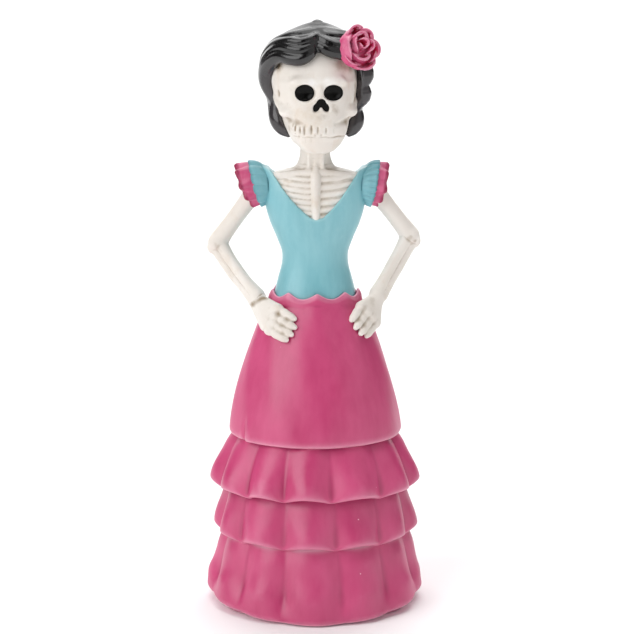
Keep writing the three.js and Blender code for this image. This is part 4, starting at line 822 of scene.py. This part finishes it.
# The head is built facing straight ahead about its own middle, then turned.
HEAD_MIDDLE = np.array([-0.1, -2, 180])
HEAD_TURN = radians(7)
TURNED = np.array([[cos(HEAD_TURN), -sin(HEAD_TURN), 0],
                   [sin(HEAD_TURN), cos(HEAD_TURN), 0], [0, 0, 1]])
HEAD_LOW, HEAD_HIGH, HEAD_VOXEL = (-22, -20, -24), (22, 22.5, 22), 0.26


def on_head(points, direction=False):
    return points @ TURNED.T + (0 if direction else HEAD_MIDDLE)


FACE = [(-23, 2.6, 2.4, -9.9), (-22.4, 4.4, 4, -9.9), (-21.3, 6, 4.9, -10), (-20.2, 7.1, 5.5, -10),
    (-18.3, 8.4, 6.4, -9.7), (-16, 9.4, 7.6, -9), (-14.4, 9.9, 8.2, -8.4), (-11, 10.7, 9.3, -7),
    (-8, 11.6, 9.6, -6), (-4, 12.5, 9.9, -4.7), (0, 11.6, 9, -4.6)]
FACE_SQUARE = 2.4
# Sockets: middle x and z, half width, half height.
EYES = ((-5, -2.55, 3.45, 2.95), (4.5, -2.6, 3.4, 2.8))
MOUTH = -16.9
ENAMEL_BITE = 0.12  # how far the enamel goes into the bone


def leaning(angle):
    c, s = cos(radians(angle)), sin(radians(angle))
    return np.array([[c, 0, s], [0, 1, 0], [-s, 0, c]])


def eye_wells(grow):
    return [egg((x, -14.9, z), (wide + grow, 3 + grow, tall + grow)) for x, z, wide, tall in EYES]


def nose_wells(grow):
    lobes = [egg((0.3 + side * 1.5, -15.9, -7.2), (1.25 + grow, 2 + grow, 1.8 + grow), leaning(side * -28))
             for side in (-1, 1)]
    return lobes + [egg((0.35, -15.9, -5.8), (1.75 + grow, 2 + grow, 1.6 + grow))]


# Tooth gaps: x, top, bottom, radius. Dents: place and radius. Brown stains: place, radius and strength.
TOOTH_GAPS = ((-10.2, -11.6, -13.8, 0.26), (-8.9, -11.9, -13.4, 0.38), (-8.1, -12.9, -14.8, 0.32),
    (-6.6, -13.6, -15.6, 0.3), (-5.3, -13.3, -16, 0.34), (-3.1, -13, -15.6, 0.42), (-1, -13.5, -15.8, 0.34),
    (1.7, -13.9, -15.4, 0.24), (-7, -16.4, -17.4, 0.3), (-1.9, -15.9, -16.6, 0.3),
    (0.1, -15.8, -16.5, 0.26), (-3.2, -17.2, -19.2, 0.2), (-5.2, -17.4, -18.8, 0.16),
    (-0.6, -17.8, -19, 0.12), (4.4, -13.8, -15.2, 0.1))
WASH_DENTS = ((-13.4, -5.2, 6, 0.9), (-13.2, -6.4, -3.4, 0.9), (13.2, -6.6, -4, 1), (9.8, -11.2, 5.6, 0.9))
SKULL_STAINS = ((-12.8, -5.8, 5.6, 1.8, 0.28), (-13, -6.8, -3.4, 1.3, 0.25), (7, -14.4, 7.2, 1.8, 0.15),
    (9.6, -12.2, 6.4, 2, 0.16), (11.4, -9.2, 5.6, 1.8, 0.2), (12.6, -7.6, -1, 1.5, 0.14),
    (13, -6.8, -4.2, 1.9, 0.31), (5, -15, -8.3, 2, 0.09), (4.4, -15.4, -6.4, 1.4, 0.08),
    (-6.4, -13.6, -11.4, 1.7, 0.11), (8.2, -12, -13.4, 1.9, 0.18), (-0.8, -16.4, -10, 1.6, 0.07),
    (1.4, -16.4, -10.2, 1.8, 0.07), (-9.6, -10.6, -12.8, 1.8, 0.1), (-7.6, -12.6, -14.6, 1.8, 0.14),
    (-10.2, -9.6, -15, 1.4, 0.14))


def skull_clay():
    clay = Clay(HEAD_LOW, HEAD_HIGH, HEAD_VOXEL)
    clay.add(egg((-0.2, 0.3, 1.2), (14.4, 15.2, 14)))
    clay.add(tower(FACE, FACE_SQUARE), 3)
    clay.add(egg((0, -12.6, -13.8), (7.6, 4.6, 5.4)), 2.4)
    for side in (-1, 1):
        clay.add(egg((side * 4.8 - 0.4, -13.2, 1.2), (4, 1.8, 1.5)), 2.2)
        clay.add(egg((side * 10.2 + 0.1, -9, -9.2), (2.7, 3.9, 1.9)), 1.8)
        cheekbone = ((11, -9, -9, 1.3), (12.5, -4.6, -7, 1.2), (12.7, 0, -5.4, 1.2)), 12, 1.4
        jaw_edge = ((10.2, -0.5, -7.5, 1.8), (9, -2.6, -13, 1.8), (6.8, -7, -18, 1.7)), 14, 2
        for line, count, blend in (cheekbone, jaw_edge):
            clay.add(rope([(side * x, *rest) for x, *rest in line], count), blend)
        crease = [(side * x, front(FACE, x, z, FACE_SQUARE) - depth, z, r) for x, z, depth, r in
                  ((5.4, -12.6, 1, 0.5), (7.4, -12.3, 0.7, 0.7), (9.2, -11.9, 0.5, 0.7),
                   (10.4, -11.4, 0.4, 0.5))]
        clay.cut(rope(crease, 16), 1.2)
    clay.add(egg((0, -13, -20), (4.2, 2.4, 2.2)), 2)
    clay.add(egg((-0.1, -14.8, -2.4), (1.2, 1.2, 2.6)), 1.4)
    for x, y, z, size in WASH_DENTS:
        clay.cut(egg((x, y, z), (size, size, size)), 1.2)
    for x, high, low, r in TOOTH_GAPS:
        at = x * (1 if high > MOUTH else 0.94)
        proud = 0.75 * exp(-(x / 5.2) ** 2)
        gap = [(at * lean, front(FACE, at, z, FACE_SQUARE) - proud, z, r * fat) for lean, z, fat in
               ((1, high, 0.5), (1.01, 0.5 * (high + low), 1), (1, low, 0.6))]
        clay.cut(rope(gap, 10), 0.5)
    mouth = [(x, front(FACE, x, MOUTH, FACE_SQUARE) - 0.6 * exp(-(x / 5.2) ** 2),
              MOUTH + 0.2 * sin(1.3 * x), 0.1 + 0.14 * smooth(0, 4, x))
             for x in np.linspace(-8.6, 8.6, 13)]
    clay.cut(rope(mouth, 40), 0.45)
    for form in eye_wells(0) + nose_wells(0):
        clay.cut(form, 0.45)
    clay.settle(4)
    return clay


def enamel(name, wells, floor):
    """Gloss black fill that lines a socket as a shallow bowl."""
    low = np.min([form[0] for form in wells], axis=0) - 1
    high = np.max([form[1] for form in wells], axis=0) + 1
    clay = Clay(low, high, 0.15)
    for form in wells:
        clay.add(form, 0.3)
    x, y, z = clay.grid()
    clay.field = np.maximum(clay.field, floor(x, y, z))
    clay.settle(3)
    clay.cast(name, ENAMEL, place=on_head)


def head():
    clay = skull_clay()
    _, y, z = clay.grid()
    jaw = z - MOUTH - np.clip(1.6 * (y + 7), 0, 8.5)
    clay.cast("skull", BONE, -jaw, on_head, spots=SKULL_STAINS)
    clay.cast("lower_jaw", BONE, jaw, on_head, TONGUE)
    sockets = zip(("right_eye_enamel", "left_eye_enamel"), eye_wells(ENAMEL_BITE), EYES)
    for name, form, (x0, z0, wide, tall) in sockets:
        bowl = egg((x0, -15.6, z0), (wide + 0.1, 2.6, tall + 0.1))[2]
        enamel(name, [form], lambda x, y, z, bowl=bowl: np.maximum(-bowl(x, y, z), -13.9 - y))
    enamel("nose_enamel", nose_wells(ENAMEL_BITE), lambda x, y, z: -14.95 - y + 0 * x + 0 * z)
    return clay


SKULL = head()


# Locks as (x, y, z, radius) stations. Swept: four swags that hang from the parting on the figure's right,
# four on its left, then the rolled end of each side.
SWEPT_LOCKS = [
    [(-1.9, -11.8, 12.4, 1.2), (-4, -13.2, 10.2, 1.9), (-7, -13.4, 8.5, 2.1), (-9.8, -11.9, 8.5, 2.1),
     (-12.8, -8.4, 9, 2.2), (-15.2, -3.2, 6.8, 2.6), (-16.1, 1, 3.2, 3), (-16.1, 2.6, -0.8, 2.7),
     (-14.2, 3.2, -5, 2.3), (-12.8, 2.6, -7.8, 1.9)],
    [(-1.7, -11.2, 14.2, 1.1), (-3.9, -13.2, 12.5, 1.4), (-6.8, -13.5, 11.4, 1.6), (-9.6, -11.8, 11.6, 1.7),
     (-12.4, -8, 11.8, 1.9), (-15, -2.6, 9.2, 2.4), (-16.3, 2, 4.8, 2.8), (-16.4, 4, 0, 2.6),
     (-14.4, 5, -4.6, 2.2)],
    [(-1.4, -10, 15.9, 1.1), (-3.7, -12.3, 14.8, 1.4), (-6.6, -12.5, 13.9, 1.6), (-9.6, -10.4, 14, 1.7),
     (-12.2, -6.6, 13.2, 2), (-14.4, -1, 10.8, 2.5), (-15.9, 3.4, 6.4, 2.8), (-16, 5.2, 0.4, 2.7),
     (-13.8, 5.6, -6.4, 2.1)],
    [(-1, -7.6, 15.7, 1.3), (-4.2, -9.4, 14.8, 1.7), (-7.6, -8.8, 14, 2), (-10.8, -6.2, 13, 2.2),
     (-13.2, -1.8, 11, 2.6), (-15, 3, 7.8, 2.9), (-15.4, 6, 2, 2.8)],
    [(-1.3, -11.4, 13.4, 1.2), (0.5, -12.8, 12, 1.7), (3.4, -13.1, 10.7, 1.9), (6.8, -12.2, 10, 2),
     (10.2, -10, 9.2, 2.3), (13.2, -6.8, 7.6, 2.6), (15.2, -2.6, 5.2, 2.8), (15.9, -3, 2.1, 2.9),
     (14.7, -2.8, -1.3, 2.4), (15.3, -2.6, -4.2, 2.8), (13.7, -1.2, -8, 1.9), (13, 0.6, -10, 1.5)],
    [(-0.7, -10.3, 15.4, 1.2), (1.9, -12.3, 13.8, 1.6), (4.9, -12.5, 12.6, 1.8), (8.6, -10.8, 11.8, 2),
     (12, -7.6, 10.6, 2.4), (14.6, -2.8, 8.4, 2.8), (16.2, 2.2, 4.4, 2.9), (15.8, 3.6, -0.6, 2.4),
     (15.5, 3.8, -4.6, 2.6), (13.4, 4.4, -9.4, 1.7)],
    [(0.3, -8.8, 15.2, 1.1), (3.4, -11, 14.1, 1.5), (7, -10.4, 13.3, 1.8), (10.6, -7.6, 12, 2.2),
     (13.4, -2.4, 10, 2.7), (15.6, 3.6, 5.8, 3)],
    [(0.6, -5.8, 15.6, 1.5), (4.2, -7.2, 15, 2), (8.2, -5.6, 13.9, 2.4), (11.8, -2, 11.8, 2.8),
     (14.4, 3.4, 8, 3)],
    [(-12.8, 2.8, -6.8, 1.9), (-13.3, 1.8, -9.8, 2.5), (-13, 0.4, -12.6, 2.9), (-11.7, -1, -15.4, 2.4),
     (-9.9, -2, -17.5, 1.1)],
    [(13, 1.4, -9.2, 1.8), (13.5, 0.6, -11.8, 2.5), (13.1, -0.4, -14, 2.7), (12, -1, -16.2, 2.1),
     (10.7, -1.8, -17.8, 1)],
]
# The combed crown and the ends below it, on the figure's right; the left is their mirror image.
RIGHT_CROWN = [
    [(-0.7, -4.4, 16.2, 1.9), (-5.2, -4.8, 15.2, 2.4), (-10.4, -2.2, 13.4, 2.9), (-13.6, 2.2, 10.5, 3.2),
     (-15.6, 6.4, 3.8, 3.2), (-14.4, 8.2, -3, 2.8), (-12.8, 8.2, -8.2, 2.4)],
    [(0.4, 1.6, 17.8, 2), (-5, 3.6, 14.6, 2.9), (-9.6, 8.2, 11.6, 3.4), (-11.4, 12.2, 5.2, 3.6),
     (-10.8, 13.6, -2, 3.3), (-9.8, 13.2, -8.6, 2.8)],
    [(0.4, 6.4, 16.8, 2), (-3.6, 10.2, 14, 3), (-5.4, 15, 7.6, 3.4), (-5.4, 16.6, 0, 3.4),
     (-5, 16, -8.4, 2.9)],
]
BACK_ENDS = [
    [(-12.6, 8, -6.8, 2.2), (-13, 7, -10.6, 2.7), (-12, 5.6, -14.8, 2.6), (-9.8, 4.2, -17.8, 1.2)],
    [(-9.8, 12.8, -7.4, 2.5), (-9.8, 12.2, -11.4, 2.9), (-8.8, 10.8, -15.6, 2.6), (-7, 9, -18.6, 1.2)],
    [(-5, 15.6, -7.4, 2.6), (-5, 15.2, -11.4, 2.9), (-4.4, 13.8, -15.8, 2.6), (-3.6, 11.8, -18.9, 1.2)],
]


def mirrored(locks):
    return [[(0.8 - x, *rest) for x, *rest in lock] for lock in locks]


NAPE_LOCK = [(0.4, 9.6, 15, 1.8), (0.4, 14.4, 10.8, 2.6), (0.4, 17.2, 4, 3), (0.4, 17.4, -4, 2.9),
    (0.4, 16, -11.5, 2.9), (0.4, 13, -18.4, 1.5)]
COMBED_LOCKS = RIGHT_CROWN + mirrored(RIGHT_CROWN) + BACK_ENDS + mirrored(BACK_ENDS) + [NAPE_LOCK]
HAIR_JOINT = -7.3  # from here down the ends are pieces of their own
HAIR_GAP = 0.12  # left between the hair and the skull
LOCK_SHIFT = 0.7  # the locks sit this far to the figure's left of their stations


def hair():
    clay = Clay(HEAD_LOW, HEAD_HIGH, HEAD_VOXEL)
    clay.add(egg((1, 1.8, 2.4), (16.3, 17, 16.4)))
    clay.add(egg((1, 6.6, -6.4), (13.6, 10.6, 12)), 3)

    def face_window(x, y, z):
        wide, tall = np.abs(x + 0.2) / 15.3, np.abs(z + 10) / 20.8
        rho = (wide ** 3.6 + tall ** 3.6) ** (1 / 3.6) + 1e-6
        side = np.sqrt(x * x + (z + 10) ** 2) * (1 - 1 / rho)
        return np.maximum(side, y - 1.2)

    clay.cut(((-16, -21, -29), (16, 1.2, 9), face_window), 0.8)
    middle = np.array([0, 1.5, 0])
    for locks, strands, groove, blend in ((COMBED_LOCKS, 5, 0.035, 1.9), (SWEPT_LOCKS, 3, 0.06, 0.8)):
        for lock in locks:
            lock = [(x + LOCK_SHIFT, *rest) for x, *rest in lock]
            clay.add(rope(lock, 40, strands, groove, middle), blend)
    clay.cut(((-7, -7, -24), (7, 7, -8), lambda x, y, z: np.sqrt(x * x + (y - 0.8) ** 2) - 6.2 + 0 * z), 0.6)
    clay.field = np.maximum(clay.field, HAIR_GAP - SKULL.field)
    clay.settle(5)
    x, _, z = clay.grid()
    clay.cast("hair_crown", BLACK_HAIR, HAIR_JOINT - z, on_head)
    clay.cast("right_lock", BLACK_HAIR, np.maximum(z - HAIR_JOINT, x), on_head, TONGUE)
    clay.cast("left_lock", BLACK_HAIR, np.maximum(z - HAIR_JOINT, -x), on_head, TONGUE)


hair()


PETAL_THICK = 0.44


def petal(middle, span, belly, base, rim, close, curl, slant):
    """A cupped petal about the rose's axis: it swells to the belly, closes to the rim and curls there."""
    u, v = np.linspace(-1, 1, 41), np.linspace(0, 1, 31)
    uu, vv = np.meshgrid(u, v)
    corner = np.abs(uu) ** 2.2
    up = vv * (1 - 0.3 * corner)
    swell = belly * (0.15 + 0.85 * np.clip(up / 0.55, 0, 1) ** 0.6)
    radius = swell - close * smooth(0.5, 1, up) + curl * smooth(0.8, 1, up)
    radius = radius - 0.18 * corner * belly * up + slant * uu
    height = base + (rim - base) * up ** 1.1 + 0.8 * slant * uu * up - 0.4 * curl * smooth(0.88, 1, up)
    angle = radians(middle) + radians(span) * uu
    sheets = []
    for side in (0.5, -0.5):
        r = radius + side * PETAL_THICK * (1 - 0.3 * vv)
        sheets.append(np.stack([r * np.cos(angle), r * np.sin(angle), height + 0 * r], -1))
    rows = np.concatenate([sheets[0], sheets[1][:, ::-1]], axis=1)
    return loft(rows)


# Petals as middle angle and half span in degrees (0 to the viewer's right, 90 up), belly radius, base, rim
# height, how far the rim closes, and the curl of its edge.
ROSE_PETALS = ((168, 60, 6.3, -4.4, 3.9, 1.5, 0.2), (100, 42, 6.2, -4, 3.4, 0.1, 0.4),
    (46, 42, 5.9, -4, 3.6, 0.4, 0.3), (352, 46, 6.2, -4.2, 2.6, 0, 0.7),
    (282, 54, 6.6, -4.4, 1.4, -0.2, 0.8), (232, 40, 6.4, -4.4, 1.9, 0.3, 0.5),
    (82, 62, 3.9, -3, 4.8, 0.3, 0.3), (268, 66, 4.3, -3, 3.5, 0.2, 0.9), (350, 50, 3.9, -3, 4.4, 0.4, 0.4),
    (170, 70, 3.3, -3, 4.6, 0.5, 0.1), (20, 105, 1.8, -2.4, 5, 0.2, 0.2),
    (215, 95, 1.1, -2.4, 4.5, 0.2, 0.1))


def inside_petals(points, normals):
    """The inner faces of the petals, and the gaps low down between them, hold the deep colour."""
    out = points[:, :2] / (np.linalg.norm(points[:, :2], axis=1, keepdims=True) + 1e-6)
    inward = np.clip(-(normals[:, :2] * out).sum(1), 0, 1)
    rim = smooth(0.3, 0.8, normals[:, 2])
    return (0.12 * inward + 0.05 * (1 - smooth(0, 3.4, points[:, 2]))) * (1 - rim)


ROSE_VOXEL, ROSE_SIZE = 0.13, 1.07


def rose():
    """Petals and the cup under them, melted into one form."""
    shells = [petal(*row, slant=0.35 * (-1) ** k) for k, row in enumerate(ROSE_PETALS)]
    turn = full_turn(60)
    cup = [np.stack([r * np.cos(turn), r * np.sin(turn), h + 0 * turn], -1) for r, h in
           ((0.8, -6.4), (1.6, -5.4), (3.4, -4.6), (5, -3.4), (5.4, -1.8), (4.6, 0), (2.2, 1))]
    shells.append(loft(np.array(cup)))
    points, triangles, start = [], [], 0
    for shell_points, faces in shells:
        for face in faces:
            face = face + start
            triangles.append(face[:, :3])
            if face.shape[1] == 4:
                triangles.append(face[:, [0, 2, 3]])
        points.append(shell_points)
        start += len(shell_points)
    level = openvdb.FloatGrid.createLevelSetFromPolygons(
        np.concatenate(points).astype(np.float32), triangles=np.concatenate(triangles).astype(np.uint32),
        transform=openvdb.createLinearTransform(voxelSize=ROSE_VOXEL), halfWidth=4.0)
    clay = Clay((-9, -9, -8), (9, 9, 7), ROSE_VOXEL)
    first = np.round(clay.low / ROSE_VOXEL).astype(int)
    clay.axes = [(np.arange(n) + start) * ROSE_VOXEL for n, start in zip(clay.field.shape, first)]
    clay.low = first * ROSE_VOXEL
    level.copyToArray(clay.field, ijk=tuple(int(i) for i in first))
    clay.settle(3)
    axis = unit(np.array([0.45, -0.8, 0.39]))
    side = unit(np.cross((0, 0, 1), axis))
    stand = np.stack([side, np.cross(axis, side), axis], -1)
    middle = np.array([14, -11.6, 191.8])

    def standing(points, direction=False):
        return points @ stand.T * (1 if direction else ROSE_SIZE) + (0 if direction else middle)

    clay.cast("rose", ROSE, place=standing, shade=inside_petals)


rose()


LENS, SENSOR = 135.8, 36
CAMERA_PLACE, CAMERA_DIP = (0.00067, -0.8, 0.264), 11.65  # metres, degrees below level
FLOOR_HEIGHT = -0.0002
# Lights: where they stand, how wide they spread in degrees, and their power.
LIGHTS = (("key_light", (-0.76, -0.62, 0.6), 55, 1.8), ("fill_light", (0.8, -0.5, 0.3), 80, 0.66),
          ("top_light", (0.05, 0.1, 1), 60, 1.6), ("back_light", (0, 0.85, 0.56), 80, 2.2))


def stage():
    scene = bpy.context.scene
    lens = bpy.data.cameras.new("photo_lens")
    lens.sensor_width = SENSOR
    lens.lens = LENS
    lens.clip_start = 0.05
    camera = placed("photo_camera", lens)
    camera.location = CAMERA_PLACE
    camera.rotation_euler = (radians(90 - CAMERA_DIP), 0, 0)
    scene.camera = camera
    floor_mesh = bpy.data.meshes.new("floor")
    corners = [(x, y, FLOOR_HEIGHT) for x, y in ((-8, -4), (8, -4), (8, 12), (-8, 12))]
    floor_mesh.from_pydata(corners, [], [(0, 1, 2, 3)])
    white = bpy.data.materials.new("floor_white")
    white.use_nodes = True
    join(white.node_tree, white.node_tree.nodes["Principled BSDF"],
         {"Base Color": (0.95, 0.95, 0.95, 1), "Roughness": 0.9})
    floor_mesh.materials.append(white)
    floor = placed("floor", floor_mesh)
    for name, place, spread, power in LIGHTS:
        lamp = bpy.data.lights.new(name, "SUN")
        lamp.angle = radians(spread)
        lamp.energy = power
        light = placed(name, lamp)
        light.location = place
        x, y, z = place
        light.rotation_euler = (atan2(hypot(x, y), z), 0, atan2(x, -y))
    world = bpy.data.worlds.new("white_studio")
    world.use_nodes = True
    tree = world.node_tree
    way = node(tree, "SeparateXYZ", {"Vector": node(tree, "TexCoord").outputs["Generated"]})
    above = ranged(tree, way.outputs["Z"], -0.1, 0.75, 0.35, 1.2)
    behind = ranged(tree, way.outputs["Y"], -0.9, 0.1, 0.3, 1)
    left = ranged(tree, way.outputs["X"], -1, -0.3, 2.2, 1)
    strength = maths(tree, "MULTIPLY", maths(tree, "MULTIPLY", above, behind), left)
    join(tree, tree.nodes["Background"], {"Strength": strength})
    scene.world = world
    scene.view_settings.view_transform = "Standard"


stage()
